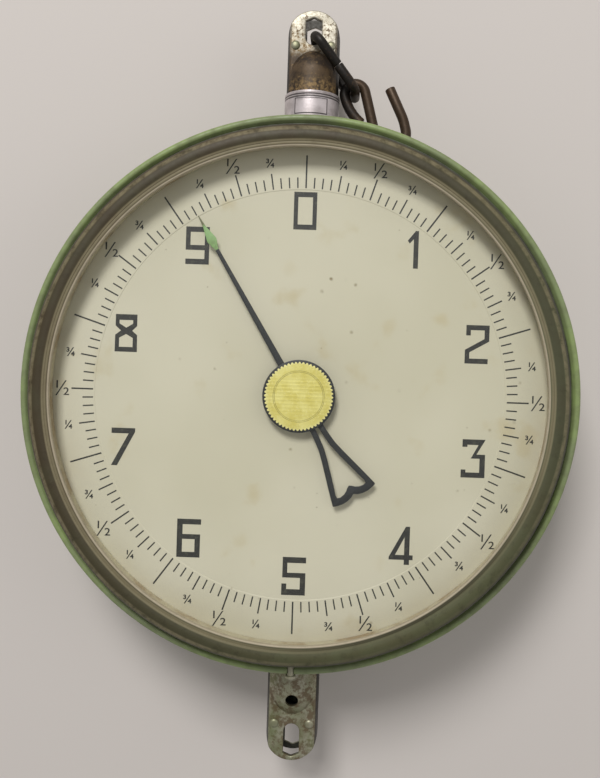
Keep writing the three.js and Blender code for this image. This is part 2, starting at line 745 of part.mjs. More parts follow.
// A stem runs from a plug in its tube to a shoulder on the crosshead, then through it to a nut.
// "towards" is the way from the crosshead to the tube, 1 for up and -1 for down.
function stem(barZ, tubeEnd, towards) {
  const plugNear = tubeEnd + towards * PLUG_INSET;
  const plugFar = plugNear + towards * PLUG_LENGTH;
  const seat = barZ + towards * (BAR_HEIGHT / 2 + GAP);
  const shoulder = seat + towards * STEM_SHOULDER_HEIGHT;
  const threadEnd = barZ - towards * (BAR_HEIGHT / 2 + GAP + NUT_HEIGHT + THREAD_BEYOND_NUT);
  const body = solid(
    turnedZ(
      [
        [0, threadEnd],
        [STEM_THREAD_RADIUS, threadEnd],
        [STEM_THREAD_RADIUS, seat],
        [STEM_SHOULDER_RADIUS, seat],
        [STEM_SHOULDER_RADIUS, shoulder],
        [STEM_RADIUS, shoulder],
        [STEM_RADIUS, plugNear],
        [tubeBore - GAP, plugNear],
        [tubeBore - GAP, plugFar],
        [0, plugFar],
      ],
      SHAFT_SEGMENTS,
    ),
  );
  const hole = turnedY(
    rod(CROSS_PIN_RADIUS + SCREW_HOLE, -TUBE_RADIUS, TUBE_RADIUS),
    SCREW_SEGMENTS,
  ).translate(0, 0, (plugNear + plugFar) / 2);
  return geometryOf(body.subtract(solid(hole)));
}

function stemNut(barZ, towards) {
  const shape = hexagon(NUT_ACROSS_FLATS);
  shape.holes.push(roundHole(0, 0, STEM_THREAD_RADIUS + SCREW_HOLE));
  const near = barZ - towards * (BAR_HEIGHT / 2 + GAP);
  const far = near - towards * NUT_HEIGHT;
  return slab(shape, Math.min(near, far), Math.max(near, far), SHAFT_SEGMENTS / 2);
}

function crossPin(tubeEnd, towards) {
  const z = tubeEnd + towards * (PLUG_INSET + PLUG_LENGTH / 2);
  return turnedY(
    rod(CROSS_PIN_RADIUS, CROSS_PIN_INSET - TUBE_RADIUS, TUBE_RADIUS - CROSS_PIN_INSET),
    SCREW_SEGMENTS,
  ).translate(0, 0, z);
}

const frameScrewPlaces = [
  [-PLATE_WIDTH / 2 + FRAME_SCREW_EDGE, UPPER_BAR_Z],
  [PLATE_WIDTH / 2 - FRAME_SCREW_EDGE, UPPER_BAR_Z],
];
const drilledY = (x, z, radius, front, back) =>
  turnedY(rod(radius, front, back), SCREW_SEGMENTS).translate(x, 0, z);
const frameHoles = frameScrewPlaces.map(([x, z]) =>
  drilledY(x, z, CASE_SCREW_RADIUS + SCREW_HOLE, barFace - SCREW_DEPTH - 1, barFace + 1),
);
add("upper_crosshead", crosshead(UPPER_BAR_Z, frameHoles), finish.darkSteel());
add("upper_stem", stem(UPPER_BAR_Z, upperBottom, 1), finish.steel());
add("upper_stem_nut", stemNut(UPPER_BAR_Z, 1), finish.steel());
add("upper_cross_pin", crossPin(upperBottom, 1), finish.steel());

const rackScrewX = (rackRoot + rackEdge) / 2 - 1;
const rackHole = drilledY(
  rackScrewX,
  LOWER_BAR_Z,
  PLATE_SCREW_RADIUS + SCREW_HOLE,
  -barFace - 1,
  -barFace + SCREW_DEPTH + 1,
);
add("lower_crosshead", crosshead(LOWER_BAR_Z, [rackHole]), finish.darkSteel());
add("lower_stem", stem(LOWER_BAR_Z, lowerTop, -1), finish.steel());
add("zero_nut", stemNut(LOWER_BAR_Z, -1), finish.brass());
add("lower_cross_pin", crossPin(lowerTop, -1), finish.steel());

// Spring anchors and springs. "inward" is the way from the crosshead to the spring.
function springAnchor(x, barZ, inward) {
  const face = BAR_HEIGHT / 2 + GAP;
  const collarEnd = face + ANCHOR_COLLAR_HEIGHT;
  const boreRadius = SPRING_WIRE_RADIUS + 0.5;
  const outline = [
    [0, -face - ANCHOR_HEAD_HEIGHT],
    [ANCHOR_HEAD_RADIUS, -face - ANCHOR_HEAD_HEIGHT],
    [ANCHOR_HEAD_RADIUS, -face],
    [ANCHOR_RADIUS, -face],
    [ANCHOR_RADIUS, face],
    [ANCHOR_HEAD_RADIUS, face],
    [ANCHOR_HEAD_RADIUS, collarEnd],
    [boreRadius, collarEnd],
    [boreRadius, collarEnd - ANCHOR_BORE_DEPTH],
    [0, collarEnd - ANCHOR_BORE_DEPTH],
  ].map(([r, along]) => [r, along * inward]);
  return turnedZ(outline, SCREW_SEGMENTS).translate(x, 0, barZ);
}

function springCoil(x) {
  const reach = BAR_HEIGHT / 2 + GAP + ANCHOR_COLLAR_HEIGHT - ANCHOR_BORE_DEPTH + 0.5;
  const top = UPPER_BAR_Z - reach;
  const bottom = LOWER_BAR_Z + reach;
  const coilHalf = (SPRING_TURNS * SPRING_PITCH) / 2;
  const middle = (top + bottom) / 2;
  // The bend from the coil in to the spring's axis, as [across, beyond the last turn]
  const bend = [
    [0, SPRING_RADIUS + SPRING_END_RISE],
    [0, SPRING_RADIUS * 0.7],
    [SPRING_RADIUS * 0.6, SPRING_END_START],
  ];
  const points = [new THREE.Vector3(x, 0, top)];
  for (const [across, beyond] of bend)
    points.push(new THREE.Vector3(x + across, 0, middle + coilHalf + beyond));
  const steps = SPRING_TURNS * SPRING_STEPS;
  for (let i = 0; i <= steps; i++) {
    const angle = (2 * Math.PI * i) / SPRING_STEPS + Math.PI / 4;
    const z = middle + coilHalf - (2 * coilHalf * i) / steps;
    const across = x + SPRING_RADIUS * Math.cos(angle);
    points.push(new THREE.Vector3(across, SPRING_RADIUS * Math.sin(angle), z));
  }
  for (const [across, beyond] of bend.reverse())
    points.push(new THREE.Vector3(x + across, 0, middle - coilHalf - beyond));
  points.push(new THREE.Vector3(x, 0, bottom));
  return points;
}

// Round wire of few sides through every point, with a section square to the path at each.
function coiledWire(points, radius, sides) {
  const positions = [];
  const indices = [];
  let normal = new THREE.Vector3(0, 1, 0);
  points.forEach((point, i) => {
    const before = points[Math.max(0, i - 1)];
    const after = points[Math.min(points.length - 1, i + 1)];
    const along = new THREE.Vector3().subVectors(after, before).normalize();
    normal = normal.clone().addScaledVector(along, -normal.dot(along)).normalize();
    const side = new THREE.Vector3().crossVectors(along, normal);
    for (let k = 0; k < sides; k++) {
      const angle = (2 * Math.PI * k) / sides;
      const spot = point.clone();
      spot.addScaledVector(normal, radius * Math.cos(angle));
      spot.addScaledVector(side, radius * Math.sin(angle));
      positions.push(spot.x, spot.y, spot.z);
      if (i > 0) {
        const here = i * sides + k;
        const next = i * sides + ((k + 1) % sides);
        indices.push(here - sides, next - sides, next, here - sides, next, here);
      }
    }
  });
  const last = (points.length - 1) * sides;
  for (let k = 1; k < sides - 1; k++) {
    indices.push(0, k + 1, k);
    indices.push(last, last + k, last + k + 1);
  }
  const geometry = new THREE.BufferGeometry();
  geometry.setAttribute("position", new THREE.Float32BufferAttribute(positions, 3));
  geometry.setIndex(indices);
  return geometry;
}

for (const [side, x] of [
  ["left", -SPRING_SPACING / 2],
  ["right", SPRING_SPACING / 2],
]) {
  add(`upper_spring_anchor_${side}`, springAnchor(x, UPPER_BAR_Z, -1), finish.steel());
  add(`lower_spring_anchor_${side}`, springAnchor(x, LOWER_BAR_Z, 1), finish.steel());
  const coil = coiledWire(springCoil(x), SPRING_WIRE_RADIUS, SPRING_SIDES);
  add(`spring_${side}`, coil, finish.springSteel());
}

// Movement plates, pillars and screws
const pillarPlaces = [
  [-PLATE_WIDTH / 2 + PILLAR_EDGE, FRONT_PLATE_TOP - PILLAR_DROP],
  [-PLATE_WIDTH / 2 + PILLAR_EDGE, PLATE_BOTTOM + PILLAR_RISE],
  [PLATE_WIDTH / 2 - PILLAR_EDGE, 0],
];
const rollerX = rackEdge + GAP + ROLLER_RADIUS;

function movementPlate(front, back, top, holes) {
  const half = PLATE_WIDTH / 2;
  const shape = rectangle(-half, PLATE_BOTTOM, half, top);
  shape.holes.push(roundHole(0, 0, BUSH_RADIUS + SCREW_HOLE));
  for (const [x, z, radius] of holes) shape.holes.push(roundHole(x, z, radius + SCREW_HOLE));
  return plate(shape, front, back, 6);
}

const pillarHoles = pillarPlaces.map(([x, z]) => [x, z, PLATE_SCREW_RADIUS]);
const screwHoles = frameScrewPlaces.map(([x, z]) => [x, z, CASE_SCREW_RADIUS]);
const standoffHoles = standoffPlaces.map(([x, z]) => [x, z, CASE_SCREW_RADIUS]);
add(
  "front_plate",
  movementPlate(frontPlateFront, frontPlateBack, FRONT_PLATE_TOP, pillarHoles),
  finish.brass(),
);
add(
  "rear_plate",
  movementPlate(rearPlateFront, rearPlateBack, UPPER_BAR_Z + BAR_HEIGHT / 2, [
    ...pillarHoles,
    ...screwHoles,
    ...standoffHoles,
    [rollerX, 0, ROLLER_STUD_RADIUS],
  ]),
  finish.brass(),
);

// A screw along Y: its head's underside is at "seat" and it points the way "into" says.
function screwY(radius, seat, into, depth) {
  const head = seat - into * radius * 1.5;
  const outline = [
    [0, head],
    [radius * 2, head],
    [radius * 2, seat],
    [radius, seat],
    [radius, seat + into * depth],
    [0, seat + into * depth],
  ];
  return turnedY(outline, SCREW_SEGMENTS);
}

pillarPlaces.forEach(([x, z], i) => {
  const front = frontPlateBack + GAP;
  const back = rearPlateFront - GAP;
  const tenon = rearPlateBack + 1;
  const socket = front + SCREW_DEPTH;
  const outline = [
    [0, socket],
    [PLATE_SCREW_RADIUS + SCREW_HOLE, socket],
    [PLATE_SCREW_RADIUS + SCREW_HOLE, front],
    [PILLAR_RADIUS, front],
    [PILLAR_RADIUS, back],
    [PLATE_SCREW_RADIUS, back],
    [PLATE_SCREW_RADIUS, tenon],
    [0, tenon],
  ];
  add(`pillar_${i + 1}`, turnedY(outline, SCREW_SEGMENTS).translate(x, 0, z), finish.steel());
  const screw = screwY(PLATE_SCREW_RADIUS, frontPlateFront - GAP, 1, PLATE_THICKNESS + SCREW_DEPTH - 1);
  add(`plate_screw_${i + 1}`, screw.translate(x, 0, z), finish.steel());
});
frameScrewPlaces.forEach(([x, z], i) => {
  const screw = screwY(CASE_SCREW_RADIUS, rearPlateBack + GAP, -1, PLATE_THICKNESS + SCREW_DEPTH - 1);
  add(`frame_screw_${i + 1}`, screw.translate(x, 0, z), finish.steel());
});

// Standoffs that hold the rear plate to the case, and their screws through the case's back
standoffPlaces.forEach(([x, z], i) => {
  const front = rearPlateBack + GAP;
  const back = caseInnerBack - GAP;
  const socket = back - SCREW_DEPTH;
  const tenon = rearPlateFront - 0.2;
  const outline = [
    [0, tenon],
    [CASE_SCREW_RADIUS, tenon],
    [CASE_SCREW_RADIUS, front],
    [STANDOFF_RADIUS, front],
    [STANDOFF_RADIUS, back],
    [CASE_SCREW_RADIUS + SCREW_HOLE, back],
    [CASE_SCREW_RADIUS + SCREW_HOLE, socket],
    [0, socket],
  ];
  add(`standoff_${i + 1}`, turnedY(outline, SCREW_SEGMENTS).translate(x, 0, z), finish.steel());
  const screw = screwY(CASE_SCREW_RADIUS, caseBack + GAP, -1, CASE_WALL + SCREW_DEPTH - 1);
  add(`case_screw_${i + 1}`, screw.translate(x, 0, z), finish.plated());
});

// Bearing bushes
function bush(seat, outward) {
  const bore = ARBOR_RADIUS + RUNNING;
  const outline = [
    [bore, seat + outward * (GAP + BUSH_FLANGE_HEIGHT)],
    [BUSH_FLANGE_RADIUS, seat + outward * (GAP + BUSH_FLANGE_HEIGHT)],
    [BUSH_FLANGE_RADIUS, seat + outward * GAP],
    [BUSH_RADIUS, seat + outward * GAP],
    [BUSH_RADIUS, seat - outward * PLATE_THICKNESS],
    [bore, seat - outward * PLATE_THICKNESS],
  ];
  return ringY(outline, SHAFT_SEGMENTS);
}
add("front_bush", bush(frontPlateFront, -1), finish.brass());
add("rear_bush", bush(rearPlateBack, 1), finish.brass());

// Pinion and rack
const halfTooth = (toothPitch / 2 - TOOTH_BACKLASH / 2) / 2;

function pinionOutline() {
  const root = PINION_RADIUS - PINION_DEDENDUM;
  const tip = PINION_RADIUS + PINION_ADDENDUM;
  const atPitch = halfTooth / PINION_RADIUS;
  // Half angles of a tooth at its root, its pitch circle and its tip, near an involute's
  const flank = [
    [root, atPitch * 0.8],
    [PINION_RADIUS - PINION_DEDENDUM / 3, atPitch * 1.02],
    [PINION_RADIUS, atPitch],
    [PINION_RADIUS + PINION_ADDENDUM / 2, atPitch * 0.72],
    [tip, atPitch * 0.3],
  ];
  const points = [];
  for (let tooth = 0; tooth < PINION_TEETH; tooth++) {
    const centre = (2 * Math.PI * (tooth + 0.5)) / PINION_TEETH;
    for (const [r, half] of flank) points.push([r, centre - half]);
    for (const [r, half] of [...flank].reverse()) points.push([r, centre + half]);
  }
  return points.map(([r, a]) => [r * Math.cos(a), r * Math.sin(a)]);
}

function pinionArbor() {
  const front = rackFront - (PINION_LENGTH - RACK_THICKNESS) / 2;
  const teeth = plate(outlineShape(pinionOutline()), front, front + PINION_LENGTH);
  const end = rearPlateBack + GAP + BUSH_FLANGE_HEIGHT + 1;
  const shaft = turnedY(rod(ARBOR_RADIUS, pointerFront - ARBOR_BEYOND_POINTER, end), SHAFT_SEGMENTS);
  return geometryOf(solid(teeth).add(solid(shaft)));
}

function rackOutline() {
  const lean = Math.tan(rad(20));
  const bottom = LOWER_BAR_Z - BAR_HEIGHT / 2;
  const foot = LOWER_BAR_Z + BAR_HEIGHT / 2 + 1;
  const tipX = PINION_RADIUS - RACK_ADDENDUM;
  const points = [
    [rackEdge, bottom],
    [rackEdge, rackTop],
    [rackRoot, rackTop],
  ];
  const lowest = -1.5 * toothPitch - 2;
  const first = Math.floor((rackTop - 1) / toothPitch - 0.5);
  for (let n = first; (n + 0.5) * toothPitch > lowest; n--) {
    const centre = n * toothPitch;
    const rootHalf = halfTooth + RACK_DEDENDUM * lean;
    const tipHalf = halfTooth - RACK_ADDENDUM * lean;
    points.push([rackRoot, centre + rootHalf]);
    points.push([tipX, centre + tipHalf]);
    points.push([tipX, centre - tipHalf]);
    points.push([rackRoot, centre - rootHalf]);
  }
  points.push([rackRoot, foot]);
  points.push([rackRoot - 2, foot - 2]);
  points.push([rackRoot - 2, bottom]);
  return points;
}

function rack() {
  const bar = solid(plate(outlineShape(rackOutline().reverse()), rackFront, rackBack));
  const hole = drilledY(
    rackScrewX,
    LOWER_BAR_Z,
    PLATE_SCREW_RADIUS + SCREW_HOLE,
    rackFront - 1,
    rackBack + 1,
  );
  return geometryOf(bar.subtract(solid(hole)));
}
add("pinion_arbor", pinionArbor(), finish.steel());
add("rack", rack(), finish.brass());
add(
  "rack_screw",
  screwY(PLATE_SCREW_RADIUS, rackFront - GAP, 1, RACK_THICKNESS + SCREW_DEPTH - 1).translate(
    rackScrewX,
    0,
    LOWER_BAR_Z,
  ),
  finish.steel(),
);

// Guide roller behind the rack, on a stud from the rear plate
add(
  "rack_roller",
  ringY(
    washer(ROLLER_STUD_RADIUS + RUNNING, ROLLER_RADIUS, rackFront, rackBack),
    SHAFT_SEGMENTS,
  ).translate(rollerX, 0, 0),
  finish.brass(),
);
const studHead = rackFront - GAP - 1.5;
add(
  "roller_stud",
  turnedY(
    [
      [0, studHead],
      [ROLLER_RADIUS - 0.4, studHead],
      [ROLLER_RADIUS - 0.4, rackFront - GAP],
      [ROLLER_STUD_RADIUS, rackFront - GAP],
      [ROLLER_STUD_RADIUS, rackBack + GAP],
      [ROLLER_RADIUS - 0.4, rackBack + GAP],
      [ROLLER_RADIUS - 0.4, rearPlateFront - GAP],
      [ROLLER_STUD_RADIUS, rearPlateFront - GAP],
      [ROLLER_STUD_RADIUS, rearPlateBack + 1],
      [0, rearPlateBack + 1],
    ],
    SHAFT_SEGMENTS,
  ).translate(rollerX, 0, 0),
  finish.steel(),
);

// Pointer: its outline is drawn straight up and turned to the rest angle
function pointerShape() {
  const half = (width) => width / 2;
  const hub = COLLET_RADIUS + HUB_WIDTH;
  const mirrored = (points) => points.map(([x, z]) => [-x, z]).reverse();
  const arm = [
    [half(POINTER_ROOT_WIDTH), hub],
    [half(POINTER_NECK_WIDTH), KITE_START],
    [half(KITE_WIDTH), KITE_WIDEST],
    [half(NEEDLE_ROOT_WIDTH), KITE_END],
    [half(NEEDLE_TIP_WIDTH), POINTER_LENGTH],
  ];
  const corner = half(TAIL_WIDTH);
  const tailEnd = TAIL_LENGTH + TAIL_LOBE;
  const tail = [
    [corner * 0.36, -tailEnd],
    [corner * 0.73, -tailEnd],
    [corner, -TAIL_LENGTH],
    [half(TAIL_NECK_WIDTH), -TAIL_NECK],
    [half(TAIL_ROOT_WIDTH), -hub],
  ];
  const right = [...tail, ...arm];
  const shape = outlineShape([[0, TAIL_CUSP - tailEnd], ...right, ...mirrored(right)]);
  // The opening keeps one bar's width inside the tail's outline.
  const innerNeck = half(TAIL_NECK_WIDTH) - TAIL_BAR;
  const innerEnd = TAIL_LENGTH - TAIL_BAR;
  const flare = (corner - half(TAIL_NECK_WIDTH)) / (TAIL_LENGTH - TAIL_NECK);
  const innerCorner = corner - TAIL_BAR * (1 + flare);
  const openingRight = [
    [innerCorner * 0.16, TAIL_OPENING_CUSP * 0.7 - innerEnd],
    [innerCorner * 0.44, TAIL_OPENING_CUSP * 0.06 - innerEnd],
    [innerCorner * 0.8, -innerEnd - half(TAIL_LOBE)],
    [innerCorner, -innerEnd],
    [innerNeck, -TAIL_NECK],
  ];
  const opening = [
    [0, TAIL_OPENING_CUSP - innerEnd],
    ...openingRight,
    [0, -TAIL_OPENING_START],
    ...mirrored(openingRight),
  ];
  shape.holes.push(new THREE.Path(opening.map(([x, z]) => new THREE.Vector2(x, z))));
  return shape;
}

function pointer() {
  const blade = solid(plate(pointerShape(), pointerFront, pointerBack));
  const bossRadius = COLLET_RADIUS + BOSS_WIDTH;
  const boss = solid(turnedY(rod(bossRadius, pointerFront, pointerBack), SHAFT_SEGMENTS));
  const hole = solid(
    turnedY(rod(ARBOR_RADIUS + SCREW_HOLE, pointerFront - 1, pointerBack + 1), SHAFT_SEGMENTS),
  );
  const whole = geometryOf(blade.add(boss).subtract(hole));
  return whole.rotateY(rad(REST_ANGLE));
}
add("pointer", pointer(), finish.blackPaint());
add(
  "pointer_collet",
  ringY(
    washer(ARBOR_RADIUS + GAP, COLLET_RADIUS, pointerBack + GAP, dialBack + COLLET_BELOW_DIAL),
    SHAFT_SEGMENTS,
  ),
  finish.brass(),
);
const discBoss = pointerFront - GAP;
const discBack = discBoss - DISC_BOSS_HEIGHT;
const discFront = discBack - DISC_THICKNESS;
add(
  "hub_disc",
  turnedY(
    [
      [0, discFront],
      [DISC_RADIUS, discFront],
      [DISC_RADIUS, discBack],
      [COLLET_RADIUS, discBack],
      [COLLET_RADIUS, discBoss],
      [ARBOR_RADIUS + GAP, discBoss],
      [ARBOR_RADIUS + GAP, discBack],
      [0, discBack],
    ],
    TUBE_SEGMENTS,
  ),
  finish.blackPaint(),
);
const sealOutline = Array.from({ length: SEAL_POINTS * 2 }, (_, i) => {
  const radius = i % 2 ? SEAL_RADIUS - SEAL_POINT_DEPTH : SEAL_RADIUS;
  const angle = (Math.PI * i) / SEAL_POINTS;
  return [radius * Math.cos(angle), radius * Math.sin(angle)];
});
add(
  "hub_seal",
  plate(outlineShape(sealOutline), discFront - GAP - SEAL_THICKNESS, discFront - GAP),
  finish.gold(),
);

// Link through the upper eye: a loop of wire with round corners, wide at the eye and narrow at its foot.
// Its ends run along Y, through the eye's slot and through the hook's eye. It is open by the small gap
// where the wire's own ends meet.
const linkPlay = SLOT_WIDTH / 2 - LINK_WIRE_RADIUS - GAP;
const slotFoot = eyeSeat - UPPER_SLOT_LENGTH + SLOT_WIDTH / 2;
const linkPivotX = linkPlay * Math.sin(rad(LINK_REST));
const linkPivotZ = slotFoot - linkPlay * Math.cos(rad(LINK_REST));
const linkEndX = linkPivotX + LINK_LENGTH * Math.sin(rad(LINK_ANGLE));
const linkEndZ = linkPivotZ - LINK_LENGTH * Math.cos(rad(LINK_ANGLE));

function linkPoints() {
  const half = LINK_WIDTH / 2;
  const footHalf = LINK_FOOT_WIDTH / 2;
  const lean = THREE.MathUtils.radToDeg(Math.atan2(half - footHalf, LINK_LENGTH));
  // From a sharp corner to where its round starts, along the link's end
  const headInset = LINK_CORNER / Math.tan(rad((90 - lean) / 2));
  const footInset = LINK_CORNER / Math.tan(rad((90 + lean) / 2));
  const foot = LINK_LENGTH - LINK_CORNER;
  const limb = (along) => half - along * Math.tan(rad(lean));
  const joint = LINK_LENGTH / 2 + LINK_JOINT_DROP;
  const middle = LINK_LENGTH / 2;
  // Local points are [along the link, across], from the middle of its upper end
  const outline = [
    [joint + LINK_JOINT / 2, -limb(joint + LINK_JOINT / 2)],
    [(joint + foot) / 2, -limb((joint + foot) / 2)],
    ...arc(foot, footInset - footHalf, LINK_CORNER, lean - 90, 0, 3),
    [LINK_LENGTH, 0],
    ...arc(foot, footHalf - footInset, LINK_CORNER, 0, 90 - lean, 3),
    [middle, limb(middle)],
    ...arc(LINK_CORNER, half - headInset, LINK_CORNER, 90 - lean, 180, 3),
    [0, 0],
    ...arc(LINK_CORNER, headInset - half, LINK_CORNER, 180, 270 + lean, 3),
    [middle * 0.7, -limb(middle * 0.7)],
    [joint - LINK_JOINT / 2, -limb(joint - LINK_JOINT / 2)],
  ];
  const angle = rad(LINK_ANGLE);
  return outline.map(([along, across]) => {
    const x = linkPivotX + along * Math.sin(angle);
    return new THREE.Vector3(x, LINK_MIDDLE + across, linkPivotZ - along * Math.cos(angle));
  });
}
add("hanger_link", wire(linkPoints(), LINK_WIRE_RADIUS, WIRE_SIDES), finish.blackWire());

// Hook: the round end of its eye lies round the link's wire, the eye's loose end comes back to the
// shank, and the point rises beside the eye. Local points are [across, down] from the centre of the
// eye's round end.
function hookPoints() {
  const loop = LINK_WIRE_RADIUS + HOOK_WIRE_RADIUS + EYE_PLAY;
  const bendX = loop + HOOK_BEND_RADIUS;
  const tipX = bendX + HOOK_BEND_RADIUS;
  const tipFoot = HOOK_SHANK - HOOK_TIP_RISE;
  const tipHalf = HOOK_TIP_LENGTH / 2;
  const lean = rad(HOOK_TIP_LEAN);
  // The eye's loose side is an arc that stops one gap short of the shank.
  const sideX = EYE_SIDE_RADIUS - loop;
  const looseX = loop - 2 * HOOK_WIRE_RADIUS - GAP;
  const looseAngle = THREE.MathUtils.radToDeg(Math.acos((looseX - sideX) / EYE_SIDE_RADIUS));
  const route = [
    ...arc(sideX, 0, EYE_SIDE_RADIUS, looseAngle, 180, 5).slice(0, -1),
    ...arc(0, 0, loop, -180, 0, 8),
    [loop, HOOK_SHANK / 3],
    [loop, (HOOK_SHANK * 2) / 3],
    ...arc(bendX, HOOK_SHANK, HOOK_BEND_RADIUS, 180, 0, 8),
    [tipX, tipFoot],
    [tipX - tipHalf * Math.sin(lean), tipFoot - tipHalf * Math.cos(lean)],
    [tipX - HOOK_TIP_LENGTH * Math.sin(lean), tipFoot - HOOK_TIP_LENGTH * Math.cos(lean)],
  ];
  const turn = rad(HOOK_ANGLE);
  return route.map(([across, down]) => {
    const x = linkEndX + across * Math.cos(turn) + down * Math.sin(turn);
    const z = linkEndZ + across * Math.sin(turn) - down * Math.cos(turn);
    return new THREE.Vector3(x, LINK_MIDDLE, z);
  });
}
add("hanger_hook", wire(hookPoints(), HOOK_WIRE_RADIUS, WIRE_SIDES), finish.blackWire());

scale.position.z = -eyeSeat;

export default scale;
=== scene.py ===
"""Dresses the hanging dial scale: fine shapes and finishes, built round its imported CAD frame.

Shapes are drawn in millimetres from the point where the pointer's axis crosses the tubes' axis, with X
to the right, Y away from the viewer and Z up, and are put in the frame, in metres, when they are done.
"""

import logging
import math
from dataclasses import dataclass, field
from enum import Enum
from typing import Callable, Sequence

import bmesh
import bpy
from mathutils import Matrix, Vector


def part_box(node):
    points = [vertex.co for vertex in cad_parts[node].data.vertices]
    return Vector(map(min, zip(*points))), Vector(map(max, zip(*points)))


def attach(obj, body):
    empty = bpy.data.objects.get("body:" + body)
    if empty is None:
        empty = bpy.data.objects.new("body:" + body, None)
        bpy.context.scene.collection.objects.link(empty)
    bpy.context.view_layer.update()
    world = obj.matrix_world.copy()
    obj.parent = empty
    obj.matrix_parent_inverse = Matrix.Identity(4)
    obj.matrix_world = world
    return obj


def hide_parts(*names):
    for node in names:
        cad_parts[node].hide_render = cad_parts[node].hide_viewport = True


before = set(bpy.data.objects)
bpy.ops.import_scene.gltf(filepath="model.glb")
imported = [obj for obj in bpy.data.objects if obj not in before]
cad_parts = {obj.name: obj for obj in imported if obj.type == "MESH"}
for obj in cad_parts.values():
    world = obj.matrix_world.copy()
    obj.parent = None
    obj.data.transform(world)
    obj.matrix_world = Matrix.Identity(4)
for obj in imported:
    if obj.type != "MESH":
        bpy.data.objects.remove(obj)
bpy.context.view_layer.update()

LOG = logging.getLogger("dial_scale")
Point = tuple[float, float]
Colour = tuple[float, float, float, float]

DIAL_LOW, DIAL_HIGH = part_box("dial_plate")
DIAL_CENTRE = Vector((0.0, 0.0, (DIAL_LOW.z + DIAL_HIGH.z) / 2))
TO_FRAME = Matrix.Translation(DIAL_CENTRE) @ Matrix.Scale(0.001, 4)
WELD = 1e-4


class Axis(Enum):
    """What a turned shape turns about."""

    DIAL = (0.0, 1.0, 0.0)
    TUBE = (0.0, 0.0, 1.0)


class Body(Enum):
    """The CAD bodies that the pieces ride on."""

    CASE = "housing"
    LOAD = "load"
    POINTER = "pointer"
    ROLLER = "roller"
    LINK = "link"
    HOOK = "hook"


def tone(red: int, green: int, blue: int) -> Colour:
    """Turns a screen colour into the linear one that shaders use.

    Args:
        red: Red, 0 to 255.
        green: Green, 0 to 255.
        blue: Blue, 0 to 255.

    Returns:
        The linear colour with full alpha.
    """

    def linear(level: int) -> float:
        """Undoes the screen's curve for one level."""
        share = level / 255
        return share / 12.92 if share <= 0.04045 else ((share + 0.055) / 1.055) ** 2.4

    return (linear(red), linear(green), linear(blue), 1.0)


# Outlines


def arc(centre: Point, radius: float, start: float, stop: float, steps: int) -> list[Point]:
    """Points along an arc.

    Args:
        centre: The arc's centre.
        radius: Its radius.
        start: First angle in degrees.
        stop: Last angle in degrees.
        steps: Number of stretches.

    Returns:
        The points from start to stop.
    """
    angles = [math.radians(start + (stop - start) * i / steps) for i in range(steps + 1)]
    return [(centre[0] + radius * math.cos(a), centre[1] + radius * math.sin(a)) for a in angles]


def eased(points: Sequence[Point], reach: float, closed: bool, steps: int = 3) -> list[Point]:
    """Rounds the corners of an outline.

    Args:
        points: The outline's corners.
        reach: How far from a corner its round starts.
        closed: Whether the last point joins the first.
        steps: Stretches in each round.

    Returns:
        The outline with each corner replaced by a short curve.
    """
    count = len(points)
    result: list[Point] = []
    for i, corner in enumerate(points):
        if not closed and i in (0, count - 1):
            result.append(corner)
            continue
        here = Vector(corner)
        before = Vector(points[i - 1]) - here
        after = Vector(points[(i + 1) % count]) - here
        cut = min(reach, before.length * 0.45, after.length * 0.45)
        start = here + before.normalized() * cut
        stop = here + after.normalized() * cut
        for k in range(steps + 1):
            t = k / steps
            spot = start * (1 - t) ** 2 + here * (2 * t * (1 - t)) + stop * t**2
            result.append((spot.x, spot.y))
    return result


def block(left: float, low: float, right: float, high: float) -> list[Point]:
    """A rectangle's corners."""
    return [(left, low), (right, low), (right, high), (left, high)]


# Shapes


def turned(
    profile: Sequence[Point], axis: Axis, closed: bool = True, steps: int = 192
) -> bmesh.types.BMesh:
    """Spins an outline about an axis.

    Args:
        profile: Points of (distance from the axis, place along it).
        axis: What it turns about.
        closed: Whether the outline closes on itself, or starts and ends on the axis.
        steps: Number of facets round.

    Returns:
        The closed shape.
    """
    shape = bmesh.new()
    along_y = axis is Axis.DIAL
    verts = [shape.verts.new((r, a, 0) if along_y else (r, 0, a)) for r, a in profile]
    pairs = list(zip(verts, verts[1:]))
    if closed:
        pairs.append((verts[-1], verts[0]))
    edges = [shape.edges.new(pair) for pair in pairs]
    bmesh.ops.spin(
        shape,
        geom=verts + edges,
        cent=(0, 0, 0),
        axis=axis.value,
        angle=2 * math.pi,
        steps=steps,
        use_merge=True,
    )
    return closed_up(shape)


def closed_up(shape: bmesh.types.BMesh) -> bmesh.types.BMesh:
    """Welds a shape's seams and turns its faces outwards."""
    bmesh.ops.remove_doubles(shape, verts=shape.verts, dist=WELD)
    bmesh.ops.dissolve_degenerate(shape, edges=shape.edges, dist=WELD)
    bmesh.ops.recalc_face_normals(shape, faces=shape.faces)
    return shape


def shape_of(data: bpy.types.Curve) -> bmesh.types.BMesh:
    """Turns curve or text data into a welded mesh.

    Args:
        data: The curve, which is used up.

    Returns:
        Its shape.
    """
    holder = bpy.data.objects.new("outline", data)
    bpy.context.scene.collection.objects.link(holder)
    bpy.context.view_layer.update()
    graph = bpy.context.evaluated_depsgraph_get()
    mesh = bpy.data.meshes.new_from_object(holder.evaluated_get(graph))
    shape = bmesh.new()
    shape.from_mesh(mesh)
    bpy.data.objects.remove(holder)
    bpy.data.curves.remove(data)
    bpy.data.meshes.remove(mesh)
    return closed_up(shape)


